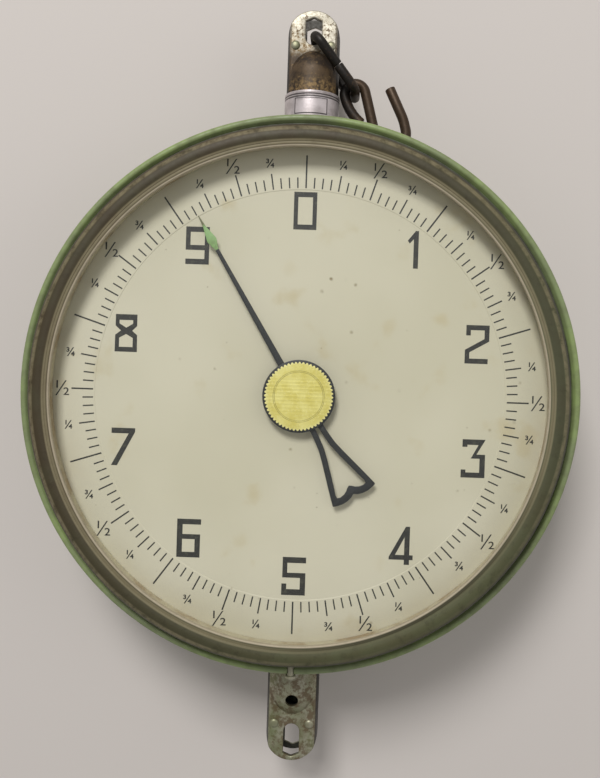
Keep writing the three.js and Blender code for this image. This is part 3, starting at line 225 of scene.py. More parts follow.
def sheet(
    outlines: Sequence[Sequence[Point]], front: float, back: float, edge: float = 0.0
) -> bmesh.types.BMesh:
    """A flat piece in the X-Z plane, cut from sheet.

    Args:
        outlines: The outer outline and its holes, as points of (x, z).
        front: Y of the front face.
        back: Y of the back face.
        edge: Radius of the rounded edges.

    Returns:
        The closed shape.
    """
    data = bpy.data.curves.new("sheet", "CURVE")
    data.dimensions = "2D"
    data.fill_mode = "BOTH"
    for outline in outlines:
        spline = data.splines.new("POLY")
        spline.points.add(len(outline) - 1)
        for spot, (x, z) in zip(spline.points, outline):
            spot.co = (x, z, 0, 1)
        spline.use_cyclic_u = True
    data.extrude = (back - front) / 2 - edge
    data.bevel_depth = edge
    data.bevel_resolution = 2
    data.offset = -edge
    shape = shape_of(data)
    place = Matrix.Translation((0, (front + back) / 2, 0)) @ Matrix.Rotation(math.pi / 2, 4, "X")
    shape.transform(place)
    return shape


def bent_wire(points: Sequence[Vector], radius: float, sides: int = 28) -> bmesh.types.BMesh:
    """Round wire along a route, with its two cut ends eased.

    Args:
        points: The route.
        radius: The wire's radius.
        sides: Facets round the wire.

    Returns:
        The closed shape.
    """
    data = bpy.data.curves.new("wire", "CURVE")
    data.dimensions = "3D"
    data.bevel_depth = radius
    data.bevel_resolution = sides // 4 - 1
    data.use_fill_caps = True
    data.twist_mode = "MINIMUM"
    first, last = points[0], points[-1]
    head = (points[1] - first).normalized() * radius * 0.16
    tail = (points[-2] - last).normalized() * radius * 0.16
    route = [(first, 0.84), (first + head * 0.35, 0.95), (first + head, 1.0)]
    route += [(spot, 1.0) for spot in points[1:-1]]
    route += [(last + tail, 1.0), (last + tail * 0.35, 0.95), (last, 0.84)]
    spline = data.splines.new("POLY")
    spline.points.add(len(route) - 1)
    for spot, (place, share) in zip(spline.points, route):
        spot.co = (*place, 1)
        spot.radius = share
    return shape_of(data)


def joined(shapes: Sequence[bmesh.types.BMesh]) -> bmesh.types.BMesh:
    """Puts several shapes into one mesh and frees them."""
    whole = bmesh.new()
    for part in shapes:
        mesh = bpy.data.meshes.new("part")
        part.to_mesh(mesh)
        part.free()
        whole.from_mesh(mesh)
        bpy.data.meshes.remove(mesh)
    return whole


def carved(
    body: bmesh.types.BMesh, tools: Sequence[tuple[str, bmesh.types.BMesh]]
) -> bmesh.types.BMesh:
    """Adds shapes to a body or cuts them out of it.

    Args:
        body: The shape to work on, which is used up.
        tools: Pairs of the boolean's name and a shape, in the order of the work.

    Returns:
        The result.
    """
    made = []
    for name, shape in [("body", body), *tools]:
        mesh = bpy.data.meshes.new(name)
        shape.to_mesh(mesh)
        shape.free()
        holder = bpy.data.objects.new(name, mesh)
        bpy.context.scene.collection.objects.link(holder)
        made.append(holder)
    for (operation, _), tool in zip(tools, made[1:]):
        step = made[0].modifiers.new(operation, "BOOLEAN")
        step.operation = operation
        step.solver = "EXACT"
        step.object = tool
    bpy.context.view_layer.update()
    graph = bpy.context.evaluated_depsgraph_get()
    result = bpy.data.meshes.new_from_object(made[0].evaluated_get(graph))
    shape = bmesh.new()
    shape.from_mesh(result)
    bpy.data.meshes.remove(result)
    for holder in made:
        mesh = holder.data
        bpy.data.objects.remove(holder)
        bpy.data.meshes.remove(mesh)
    bmesh.ops.remove_doubles(shape, verts=shape.verts, dist=WELD)
    return shape


def moved(shape: bmesh.types.BMesh, x: float, y: float, z: float) -> bmesh.types.BMesh:
    """Shifts a shape."""
    shape.transform(Matrix.Translation((x, y, z)))
    return shape


# Shader maths


class Value:
    """A node's output that numbers and other outputs can be worked with in plain expressions."""

    def __init__(self, paint: "Paint", socket: bpy.types.NodeSocket) -> None:
        """Wraps a socket of one material.

        Args:
            paint: The material's nodes.
            socket: The output.
        """
        self.paint = paint
        self.socket = socket

    def sum(self, operation: str, *others: "Value | float") -> "Value":
        """One Math node on this value and others."""
        inputs = dict(enumerate((self, *others)))
        return self.paint.node("ShaderNodeMath", {"operation": operation}, inputs)

    def __add__(self, other: "Value | float") -> "Value":
        """self + other."""
        return self.sum("ADD", other)

    __radd__ = __add__

    def __sub__(self, other: "Value | float") -> "Value":
        """self - other."""
        return self.sum("SUBTRACT", other)

    def __rsub__(self, other: float) -> "Value":
        """other - self."""
        inputs = {0: other, 1: self}
        return self.paint.node("ShaderNodeMath", {"operation": "SUBTRACT"}, inputs)

    def __mul__(self, other: "Value | float") -> "Value":
        """self * other."""
        return self.sum("MULTIPLY", other)

    __rmul__ = __mul__

    def __truediv__(self, other: "Value | float") -> "Value":
        """self / other."""
        return self.sum("DIVIDE", other)

    def step(self, low: float, high: float) -> "Value":
        """Rises smoothly from 0 to 1.

        Args:
            low: Where it leaves 0.
            high: Where it reaches 1.

        Returns:
            The smooth step.
        """
        settings = {"interpolation_type": "SMOOTHSTEP"}
        if low < high:
            return self.paint.node("ShaderNodeMapRange", settings, {0: self, 1: low, 2: high})
        inputs = {0: self, 1: high, 2: low, 3: 1.0, 4: 0.0}
        return self.paint.node("ShaderNodeMapRange", settings, inputs)

    def band(self, low: float, high: float, soft: float) -> "Value":
        """1 between two values, fading to 0 over a soft width outside them."""
        return self.step(low - soft, low) * self.step(high + soft, high)

    def spread(self, low: float, high: float) -> "Value":
        """Maps 0 to 1 onto low to high in a straight line."""
        return self.paint.node("ShaderNodeMapRange", {}, {0: self, 3: low, 4: high})


class Paint:
    """One material: a Principled shader and the nodes that feed it."""

    def __init__(self, name: str) -> None:
        """Starts an empty material.

        Args:
            name: The material's name.
        """
        self.material = bpy.data.materials.new(name)
        self.material.use_nodes = True
        self.tree = self.material.node_tree
        self.tree.nodes.clear()
        self.out = self.tree.nodes.new("ShaderNodeOutputMaterial")
        self.shader = self.tree.nodes.new("ShaderNodeBsdfPrincipled")
        self.tree.links.new(self.shader.outputs[0], self.out.inputs[0])
        place = self.tree.nodes.new("ShaderNodeTexCoord")
        centred = self.node(
            "ShaderNodeMapping", {}, {0: Value(self, place.outputs["Object"]), 1: -DIAL_CENTRE}
        )
        self.place = centred
        split = self.node("ShaderNodeSeparateXYZ", {}, {0: centred}).socket.node
        self.x, self.y, self.z = (Value(self, split.outputs[i]) for i in range(3))

    def node(self, kind: str, settings: dict, inputs: dict, output: int = 0) -> Value:
        """Adds a node.

        Args:
            kind: The node's type.
            settings: Its own settings, set first; "stops" are a ramp's places and colours.
            inputs: Values or links by the input's number or name.
            output: Which output to use.

        Returns:
            The output.
        """
        made = self.tree.nodes.new(kind)
        for key, value in settings.items():
            if key == "stops":
                ramp = made.color_ramp
                while len(ramp.elements) < len(value):
                    ramp.elements.new(0.5)
                for element, (spot, colour) in zip(ramp.elements, value):
                    element.position = spot
                    element.color = colour
            else:
                setattr(made, key, value)
        for key, value in inputs.items():
            if isinstance(value, Value):
                self.tree.links.new(value.socket, made.inputs[key])
            else:
                made.inputs[key].default_value = value
        return Value(self, made.outputs[output])

    def noise(
        self, scale: float, detail: float = 4.0, rough: float = 0.55, stretch: Sequence[float] = ()
    ) -> Value:
        """Cloudy noise on the piece's own coordinates.

        Args:
            scale: Clouds to a metre.
            detail: Octaves.
            rough: Strength of the finer octaves.
            stretch: Scales of the three axes, if they differ.

        Returns:
            The noise, mostly between 0.3 and 0.7.
        """
        place = self.place
        if stretch:
            place = self.node("ShaderNodeMapping", {}, {0: place, 3: tuple(stretch)})
        inputs = {"Vector": place, "Scale": scale, "Detail": detail, "Roughness": rough}
        return self.node("ShaderNodeTexNoise", {}, inputs)

    def specks(self, scale: float, size: float, share: float) -> Value:
        """Soft round specks scattered over the piece.

        Args:
            scale: Cells to a metre.
            size: Radius of a speck, as a share of a cell.
            share: Share of the cells that have one.

        Returns:
            1 in the middle of a speck, 0 outside.
        """
        inputs = {"Vector": self.place, "Scale": scale}
        far = self.node("ShaderNodeTexVoronoi", {}, inputs)
        draw = Value(self, far.socket.node.outputs["Color"])
        pick = self.node("ShaderNodeSeparateColor", {}, {0: draw})
        wobble = self.noise(scale * 6, 2.0) * (size * 0.8) - size * 0.4
        return (far + wobble).step(size, size * 0.2) * pick.step(1 - share, 1.0)

    def mixed(
        self, share: Value | float, first: Value | Colour, second: Value | Colour, how: str = "MIX"
    ) -> Value:
        """Mixes two colours.

        Args:
            share: 0 for the first, 1 for the second.
            first: A colour.
            second: A colour.
            how: The way of mixing.

        Returns:
            The mixed colour.
        """
        settings = {"data_type": "RGBA", "blend_type": how}
        return self.node("ShaderNodeMix", settings, {0: share, 6: first, 7: second}, 2)

    def radius(self) -> Value:
        """Distance from the dial's axis."""
        return (self.x * self.x + self.z * self.z).sum("SQRT")

    def bump(self, height: Value, distance: float, strength: float = 1.0) -> None:
        """Gives the surface a bump.

        Args:
            height: The height, mostly 0 to 1.
            distance: Metres that a height of 1 stands for.
            strength: Share of the effect.
        """
        inputs = {"Height": height, "Distance": distance, "Strength": strength}
        self.feed(Normal=self.node("ShaderNodeBump", {}, inputs))

    def feed(self, **inputs: Value | float | Colour) -> None:
        """Sets or links the shader's inputs, whose names have underscores for spaces."""
        for key, value in inputs.items():
            socket = self.shader.inputs[key.replace("_", " ")]
            if isinstance(value, Value):
                self.tree.links.new(value.socket, socket)
            else:
                socket.default_value = value


# Finishes


@dataclass(frozen=True)
class Enamel:
    """Green enamel on the case, rubbed at its rolled rim, with painted shade in the gap at the bezel's
    foot.
    """

    name: str = "green_enamel"
    coat: Colour = tone(128, 140, 98)
    fresh: Colour = tone(140, 158, 98)
    dull: Colour = tone(108, 114, 78)
    foot_shade: Colour = tone(40, 42, 22)
    rust: Colour = tone(112, 88, 60)
    foot: float = 0.1714
    lip: float = 0.1727

    def mixed(self) -> bpy.types.Material:
        """Builds the material."""
        paint = Paint(self.name)
        broad = paint.noise(16, 3).step(0.38, 0.62)
        fine = paint.noise(140, 5).step(0.35, 0.7)
        coat = paint.mixed(broad, self.coat, self.fresh)
        coat = paint.mixed(fine * 0.55, coat, self.dull)
        far = paint.radius()
        front = paint.y.step(-0.034, -0.037)
        # Painted shade in the gap between the flange and the bezel's foot, on the front, broken up by
        # noise.
        shade_breakup = paint.noise(70, 4).spread(0.55, 1.35)
        painted_foot_shade = far.step(self.lip, self.foot) * far.step(self.foot - 0.004, self.foot - 0.001)
        painted_foot_shade = painted_foot_shade * front * shade_breakup
        coat = paint.mixed(painted_foot_shade.sum("MINIMUM", 1.0), coat, self.foot_shade)
        chips = paint.noise(260, 6, 0.7).step(0.66, 0.72) * paint.noise(30, 2).step(0.45, 0.65)
        coat = paint.mixed(chips * 0.8, coat, self.rust)
        paint.feed(Base_Color=coat, Roughness=fine.spread(0.42, 0.62) + chips * 0.2)
        paint.bump(paint.noise(900, 3) * 0.5 - chips * 1.5, 0.00012, 0.6)
        return paint.material


@dataclass(frozen=True)
class OldBezel:
    """Bezel metal with its finish worn thin: olive and brown, worn pale in patches on the crest and at the
    lip, with painted highlights at the top and painted shade at the bottom, on the upper slope and round
    the foot.
    """

    name: str = "old_bezel"
    olive: Colour = tone(80, 76, 48)
    brown: Colour = tone(72, 60, 34)
    green: Colour = tone(84, 86, 56)
    dark: Colour = tone(34, 28, 14)
    bare_and_highlight: Colour = tone(132, 122, 94)
    edge: Colour = tone(178, 166, 142)
    lip: float = 0.1536
    lip_shade_ring: float = 0.1556
    line: float = 0.1586
    crest: float = 0.1648
    foot: float = 0.1672

    def mixed(self) -> bpy.types.Material:
        """Builds the material."""
        paint = Paint(self.name)
        far = paint.radius()
        side = (paint.x * 2.2 - paint.z * 1.6).step(-0.28, 0.34)
        base = paint.mixed(side, self.brown, self.green)
        base = paint.mixed(paint.noise(55, 4).step(0.35, 0.65) * 0.6, base, self.olive)
        grit = paint.noise(520, 6, 0.75)
        mottle = paint.noise(150, 5, 0.7)
        base = paint.mixed(mottle.step(0.5, 0.7) * 0.3, base, self.dark)
        base = paint.mixed(grit.step(0.58, 0.76) * 0.3, base, self.bare_and_highlight)
        # high is 1 over most of the ring and falls to 0 at the bottom and lower right, where less light
        # falls: it places the painted highlights, and 1 - high places the painted shade.
        high = (paint.z * 1.0 - paint.x * 0.6 + 0.25).step(0.05, 0.14)
        # The crest is worn pale in patches, paler at the top as a painted highlight.
        crest_wear_and_highlight = far.band(self.crest - 0.0006, self.crest + 0.0006, 0.0012)
        crest_wear_and_highlight = crest_wear_and_highlight * mottle.step(0.68, 0.36) * high.spread(0.15, 1.0)
        base = paint.mixed(crest_wear_and_highlight * 0.8, base, self.bare_and_highlight)
        # Painted shade on the outer wall outside the crest, at the bottom.
        outside = far.step(self.crest, self.foot) * (1 - high)
        base = paint.mixed(outside * 0.5, base, self.dark)
        # Painted shade on the sloping face at the top, which faces down.
        base = paint.mixed(far.band(self.line, self.crest - 0.002, 0.001) * high * 0.4, base, self.dark)
        # Painted shade in a thin ring just outside the lip, at the bottom.
        lip_shade_ring = far.band(self.lip_shade_ring - 0.0007, self.lip_shade_ring + 0.0005, 0.0008)
        base = paint.mixed(lip_shade_ring * (1 - high) * 0.7, base, self.dark)
        # Painted highlight on the slope just outside the lip, at the top, broken up by the mottle.
        pale = far.band(self.lip_shade_ring, self.line - 0.0012, 0.0008) * high
        base = paint.mixed(pale * mottle.spread(0.3, 1.1), base, self.bare_and_highlight)
        lip = far.step(self.lip + 0.0014, self.lip + 0.0006)
        base = paint.mixed(lip * mottle.spread(0.6, 1.2), base, self.edge)
        # Painted shade round the bezel's foot, all round.
        base = paint.mixed(far.step(self.foot - 0.001, self.foot) * 0.85, base, self.dark)
        rough = grit.spread(0.42, 0.7) - crest_wear_and_highlight * 0.1
        metal = mottle.spread(0.05, 0.25) + crest_wear_and_highlight * 0.15
        paint.feed(Base_Color=base, Roughness=rough, Metallic=metal)
        paint.bump(grit + mottle * 1.2, 0.00014, 0.5)
        return paint.material


@dataclass(frozen=True)
class DialCard:
    """Cream dial enamel with stains, brown specks and a browned edge."""

    name: str = "dial_enamel"
    cream: Colour = tone(208, 203, 180)
    shade: Colour = tone(200, 195, 170)
    stain: Colour = tone(190, 176, 134)
    speck: Colour = tone(122, 104, 62)
    edge: Colour = tone(198, 190, 164)

    def mixed(self) -> bpy.types.Material:
        """Builds the material."""
        paint = Paint(self.name)
        card = paint.mixed(paint.noise(9, 2).step(0.35, 0.65), self.cream, self.shade)
        blots = paint.noise(32, 4, 0.5).step(0.60, 0.74)
        card = paint.mixed(blots * 0.55, card, self.stain)
        far = paint.radius()
        rim = far.step(0.136, 0.158) * paint.noise(26, 4).step(0.34, 0.66)
        card = paint.mixed(rim * 0.55, card, self.edge)
        halo = paint.specks(34, 0.24, 0.5)
        card = paint.mixed(halo * 0.5, card, self.stain)
        dots = paint.specks(56, 0.1, 0.6)
        card = paint.mixed(dots * 0.9, card, self.speck)
        pin = paint.specks(150, 0.10, 0.25)
        card = paint.mixed(pin * 0.6, card, self.speck)
        paint.feed(Base_Color=card, Roughness=paint.noise(40, 4).spread(0.42, 0.62))
        paint.bump(paint.noise(700, 3), 0.00003, 0.5)
        return paint.material


@dataclass(frozen=True)
class Ink:
    """Dark printing ink, a little thin in places."""

    name: str = "dial_ink"
    full: Colour = tone(46, 46, 42)
    thin: Colour = tone(72, 72, 60)

    def mixed(self) -> bpy.types.Material:
        """Builds the material."""
        paint = Paint(self.name)
        wear = paint.noise(300, 5, 0.7).step(0.5, 0.72)
        paint.feed(Base_Color=paint.mixed(wear, self.full, self.thin), Roughness=0.55)
        return paint.material


@dataclass(frozen=True)
class PointerCoat:
    """Black paint on the pointer, green on its kite and olive on its needle."""

    name: str = "pointer_paint"
    black: Colour = tone(40, 42, 42)
    rubbed: Colour = tone(66, 70, 66)
    green: Colour = tone(136, 172, 110)
    olive: Colour = tone(96, 96, 58)
    turn: float = -31.0
    kite: float = 0.1046
    needle: float = 0.1205

    def mixed(self) -> bpy.types.Material:
        """Builds the material."""
        paint = Paint(self.name)
        lean = math.radians(self.turn)
        reach = paint.x * math.sin(lean) + paint.z * math.cos(lean)
        scuff = paint.noise(420, 6, 0.7)
        coat = paint.mixed(scuff.step(0.55, 0.72) * 0.6, self.black, self.rubbed)
        cloud = paint.noise(160, 3)
        kite = paint.mixed(cloud.step(0.4, 0.7) * 0.4, self.green, self.olive)
        coat = paint.mixed(reach.step(self.kite, self.kite + 0.0006), coat, kite)
        coat = paint.mixed(reach.step(self.needle, self.needle + 0.003), coat, self.olive)
        paint.feed(Base_Color=coat, Roughness=scuff.spread(0.3, 0.6))
        paint.bump(scuff, 0.00005, 0.5)
        return paint.material


@dataclass(frozen=True)
class Foil:
    """Gold paper foil with a fine printed double ring."""

    name: str = "gold_foil"
    gold: Colour = tone(230, 221, 136)
    deep: Colour = tone(216, 204, 108)
    pale: Colour = tone(242, 235, 168)
    print: Colour = tone(134, 126, 58)
    ring: float = 0.0160
    inner: float = 0.0152

    def mixed(self) -> bpy.types.Material:
        """Builds the material."""
        paint = Paint(self.name)
        cloud = paint.noise(120, 4)
        coat = paint.mixed(cloud.step(0.35, 0.65), self.gold, self.deep)
        grain = paint.noise(900, 3)
        coat = paint.mixed(grain.step(0.5, 0.75) * 0.5, coat, self.pale)
        far = paint.radius()
        coat = paint.mixed(far.step(0.0196, 0.0212) * 0.6, coat, self.pale)
        wear = paint.noise(260, 4).spread(0.35, 1.1)
        for ring in (self.ring, self.inner):
            line = far.band(ring - 0.00008, ring + 0.00008, 0.00016)
            coat = paint.mixed(line * wear, coat, self.print)
        paint.feed(Base_Color=coat, Roughness=grain.spread(0.3, 0.5), Metallic=0.15)
        paint.bump(cloud * 2.0 + grain * 0.3, 0.00012, 0.6)
        return paint.material


@dataclass(frozen=True)
class RustedTube:
    """Upper tube: plating left on the flat eye, brown rust on the round of the tube, with painted shade in
    the slit between the cheeks and a painted highlight just above the band.
    """

    name: str = "rusted_tube"
    plating: Colour = tone(176, 170, 154)
    stained: Colour = tone(140, 126, 98)
    rust: Colour = tone(84, 66, 44)
    deep: Colour = tone(46, 34, 22)
    golden_rust_and_highlight: Colour = tone(150, 122, 78)
    ochre: Colour = tone(134, 108, 62)
    cleft_shade: Colour = tone(14, 12, 10)
    arch: float = 0.226

    def mixed(self) -> bpy.types.Material:
        """Builds the material."""
        paint = Paint(self.name)
        broad = paint.noise(90, 5, 0.65)
        fine = paint.noise(420, 6, 0.7)
        rust = paint.mixed(broad.step(0.42, 0.62), self.deep, self.rust)
        rust = paint.mixed(fine.step(0.56, 0.74) * 0.7, rust, self.golden_rust_and_highlight)
        plate = paint.mixed(fine.step(0.48, 0.62) * 0.7, self.plating, self.stained)
        spots = (fine * 0.5 + paint.noise(160, 5, 0.7) * 0.5).step(0.53, 0.60)
        plate = paint.mixed(spots, plate, self.rust)
        stained = (paint.x * 0.6 + paint.z).step(0.2400, 0.2180)
        plate = paint.mixed(stained * fine.step(0.34, 0.60) * 0.85, plate, self.ochre)
        flat = paint.z.step(self.arch - 0.004, self.arch + 0.006)
        deep = paint.y.sum("ABSOLUTE")
        face = deep.step(0.0106, 0.0100)
        bright = (flat * face) * broad.step(0.66, 0.5).spread(0.5, 1.0)
        coat = paint.mixed(bright, rust, plate)
        # Painted highlight on the round of the tube just above the band, in golden rust and broken up by
        # noise.
        low = paint.z.step(self.arch - 0.014, self.arch - 0.024) * fine.step(0.42, 0.62)
        coat = paint.mixed(low * 0.8, coat, self.golden_rust_and_highlight)
        # Painted shade on the cheeks' inner faces and in the slit between them.
        coat = paint.mixed(deep.step(0.0082, 0.0072) * 0.92, coat, self.cleft_shade)
        paint.feed(
            Base_Color=coat,
            Roughness=fine.spread(0.35, 0.75) - bright * 0.08,
            Metallic=bright.spread(0.3, 0.5),
        )
        paint.bump(fine + broad * 0.8, 0.0002, 0.6)
        return paint.material


@dataclass(frozen=True)
class WornPlating:
    """Dull plating with an olive bloom, scratches and some rust specks; aged, also rust blotches and
    painted shade in the slit between the cheeks; with lines, painted shade along them.
    """

    name: str = "worn_plating"
    plating: Colour = tone(172, 168, 148)
    bloom: Colour = tone(128, 126, 96)
    tint: Colour = tone(120, 132, 88)
    rust: Colour = tone(98, 76, 50)
    cleft_shade: Colour = tone(16, 14, 10)
    tint_share: float = 0.3
    rust_share: float = 0.7
    age: float = 0.0
    metallic: float = 0.6
    lines: tuple[float, ...] = ()
    plate: float = 0.1896

    def mixed(self) -> bpy.types.Material:
        """Builds the material."""
        paint = Paint(self.name)
        broad = paint.noise(70, 4, 0.6)
        fine = paint.noise(380, 6, 0.72)
        scratch = paint.noise(130, 4, 0.6, (1.0, 1.0, 9.0))
        coat = paint.mixed(broad.step(0.40, 0.64) * 0.8, self.plating, self.bloom)
        coat = paint.mixed(paint.noise(34, 3).step(0.48, 0.66) * self.tint_share, coat, self.tint)
        coat = paint.mixed(scratch.step(0.56, 0.68) * 0.4, coat, self.bloom)
        spots = fine.step(0.60, 0.70) * paint.noise(60, 3).step(0.42, 0.6)
        coat = paint.mixed(spots * self.rust_share, coat, self.rust)
        if self.age:
            blotch = (fine * 0.45 + paint.noise(110, 5, 0.7) * 0.55).step(0.46, 0.56)
            coat = paint.mixed(blotch * self.age, coat, self.rust)
            olive = paint.noise(48, 4).step(0.42, 0.6) * fine.step(0.3, 0.6)
            coat = paint.mixed(olive * self.age * 0.7, coat, self.tint)
            # Painted shade on the cheeks' inner faces and in the slit between them.
            cleft_shade = paint.y.sum("ABSOLUTE").step(0.0082, 0.0072)
            coat = paint.mixed(cleft_shade * 0.92, coat, self.cleft_shade)
        if self.lines:
            # Painted shade along the band's grooves at the given heights and round the edge of its plate's
            # frame.
            marks = [paint.z.band(mark - 0.0003, mark + 0.0003, 0.0002) for mark in self.lines]
            across, level = paint.x.sum("ABSOLUTE"), (paint.z - self.plate).sum("ABSOLUTE")
            upright = across.band(0.0103, 0.0107, 0.0002) * level.step(0.0054, 0.0052)
            flatwise = level.band(0.0048, 0.0052, 0.0002) * across.step(0.0109, 0.0107)
            front = paint.y.step(-0.008, -0.009)
            drawn = (upright + flatwise) * front
            for mark in marks:
                drawn = drawn + mark
            coat = paint.mixed(drawn.sum("MINIMUM", 1.0) * 0.85, coat, self.cleft_shade)
        paint.feed(
            Base_Color=coat,
            Roughness=fine.spread(0.26, 0.6) + spots * 0.2,
            Metallic=(1 - spots) * self.metallic,
        )
        paint.bump(fine + scratch * 0.6, 0.00012, 0.55)
        return paint.material


@dataclass(frozen=True)
class BlackWire:
    """Blackened wire of the link and the hook, browned by rust away from the scale."""

    name: str = "black_wire"
    black: Colour = tone(34, 30, 26)
    bronze: Colour = tone(72, 56, 40)
    rust: Colour = tone(92, 66, 44)
    rub: Colour = tone(124, 108, 86)

    def mixed(self) -> bpy.types.Material:
        """Builds the material."""
        paint = Paint(self.name)
        broad = paint.noise(85, 5, 0.65)
        fine = paint.noise(460, 6, 0.72)
        low = paint.x.step(0.012, 0.04)
        brown = (broad * 0.75 + low * 0.42).step(0.48, 0.74)
        coat = paint.mixed(brown * 0.85, self.black, self.bronze)
        coat = paint.mixed(fine.step(0.54, 0.7) * (low * 0.6 + 0.2), coat, self.rust)
        rub = paint.noise(210, 4, 0.7).step(0.62, 0.74)
        coat = paint.mixed(rub * 0.4, coat, self.rub)
        paint.feed(
            Base_Color=coat, Roughness=fine.spread(0.34, 0.62), Metallic=broad.spread(0.35, 0.7)
        )
        paint.bump(fine + broad, 0.00018, 0.6)
        return paint.material


@dataclass(frozen=True)
class Metal:
    """Plain machined or drawn metal with stains."""

    name: str
    clean: Colour
    stained: Colour
    rough: float = 0.35
    metallic: float = 0.85
    cloud: float = 90.0

    def mixed(self) -> bpy.types.Material:
        """Builds the material."""
        paint = Paint(self.name)
        fine = paint.noise(500, 5, 0.7)
        stain = paint.noise(self.cloud, 4, 0.6).step(0.42, 0.66)
        coat = paint.mixed(stain * 0.7, self.clean, self.stained)
        paint.feed(
            Base_Color=coat,
            Roughness=fine.spread(self.rough - 0.1, self.rough + 0.2),
            Metallic=self.metallic,
        )
        paint.bump(fine, 0.00006, 0.5)
        return paint.material


@dataclass(frozen=True)
class Glass:
    """Thin clear glass with a trace of dust."""

    name: str = "clear_glass"
    tint: Colour = tone(240, 244, 238)

    def mixed(self) -> bpy.types.Material:
        """Builds the material."""
        paint = Paint(self.name)
        dust = paint.noise(60, 6, 0.7).step(0.55, 0.8)
        paint.feed(Base_Color=self.tint, Roughness=dust.spread(0.03, 0.16), IOR=1.45)
        clear = paint.node("ShaderNodeBsdfTransparent", {}, {0: (1.0, 1.0, 1.0, 1.0)})
        sheen = paint.node("ShaderNodeFresnel", {}, {"IOR": 1.3})
        share = sheen * 0.4 + dust * 0.006
        gloss = Value(paint, paint.shader.outputs[0])
        blend = paint.node("ShaderNodeMixShader", {}, {0: share, 1: clear, 2: gloss})
        paint.tree.links.new(blend.socket, paint.out.inputs[0])
        return paint.material


@dataclass
class PaintShop:
    """All finishes of the scale, each made once."""

    enamel: bpy.types.Material = field(default_factory=lambda: Enamel().mixed())
    bezel: bpy.types.Material = field(default_factory=lambda: OldBezel().mixed())
    card: bpy.types.Material = field(default_factory=lambda: DialCard().mixed())
    ink: bpy.types.Material = field(default_factory=lambda: Ink().mixed())
    pointer: bpy.types.Material = field(default_factory=lambda: PointerCoat().mixed())
    foil: bpy.types.Material = field(default_factory=lambda: Foil().mixed())
    rusted: bpy.types.Material = field(default_factory=lambda: RustedTube().mixed())
    plating: bpy.types.Material = field(default_factory=lambda: WornPlating().mixed())
    spotted: bpy.types.Material = field(
        default_factory=lambda: WornPlating("spotted_plating", age=0.75).mixed()
    )
    band: bpy.types.Material = field(
        default_factory=lambda: WornPlating(
            name="band_plating",
            plating=tone(206, 196, 196),
            bloom=tone(168, 158, 156),
            tint_share=0.0,
            rust_share=0.35,
            metallic=0.45,
            lines=(0.1973, 0.1957, 0.1778, 0.1760),
        ).mixed()
    )
    wire: bpy.types.Material = field(default_factory=lambda: BlackWire().mixed())
    glass: bpy.types.Material = field(default_factory=lambda: Glass().mixed())
    brass: bpy.types.Material = field(
        default_factory=lambda: Metal(
            "aged_brass", tone(176, 144, 84), tone(116, 92, 50), 0.36, 0.85, 70
        ).mixed()
    )
    dark: bpy.types.Material = field(
        default_factory=lambda: Metal(
            "dark_steel", tone(92, 88, 80), tone(58, 48, 38), 0.45, 0.75, 110
        ).mixed()
    )
    bright: bpy.types.Material = field(
        default_factory=lambda: Metal(
            "bright_steel", tone(168, 168, 162), tone(122, 116, 104), 0.3, 0.9, 80
        ).mixed()
    )
    spring: bpy.types.Material = field(
        default_factory=lambda: Metal(
            "spring_steel", tone(104, 106, 110), tone(64, 62, 60), 0.3, 0.9, 160
        ).mixed()
    )
    rubber: bpy.types.Material = field(
        default_factory=lambda: Metal(
            "gasket_rubber", tone(40, 40, 34), tone(66, 62, 50), 0.75, 0.0, 120
        ).mixed()
    )
    cream: bpy.types.Material = field(
        default_factory=lambda: Metal(
            "cream_paint", tone(196, 188, 160), tone(150, 122, 88), 0.5, 0.0, 60
        ).mixed()
    )


def piece(
    name: str,
    shape: bmesh.types.BMesh,
    body: Body,
    finish: bpy.types.Material,
    stands_for: Sequence[str] = (),
    crease: float = 32.0,
) -> bpy.types.Object:
    """Puts a finished shape in the frame as one piece.

    Args:
        name: The piece's name.
        shape: Its shape in millimetres, which is used up.
        body: The body it rides on.
        finish: Its material.
        stands_for: CAD nodes it replaces.
        crease: Angle in degrees past which an edge stays sharp.

    Returns:
        The object.
    """
    shape.transform(TO_FRAME)
    mesh = bpy.data.meshes.new(name)
    shape.to_mesh(mesh)
    shape.free()
    mesh.shade_smooth()
    mesh.set_sharp_from_angle(angle=math.radians(crease))
    mesh.materials.append(finish)
    made = bpy.data.objects.new(name, mesh)
    bpy.context.scene.collection.objects.link(made)
    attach(made, body.value)
    if stands_for:
        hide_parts(*stands_for)
    LOG.info("%s: %d faces on %s", name, len(mesh.polygons), body.value)
    return made


# Sub-assemblies


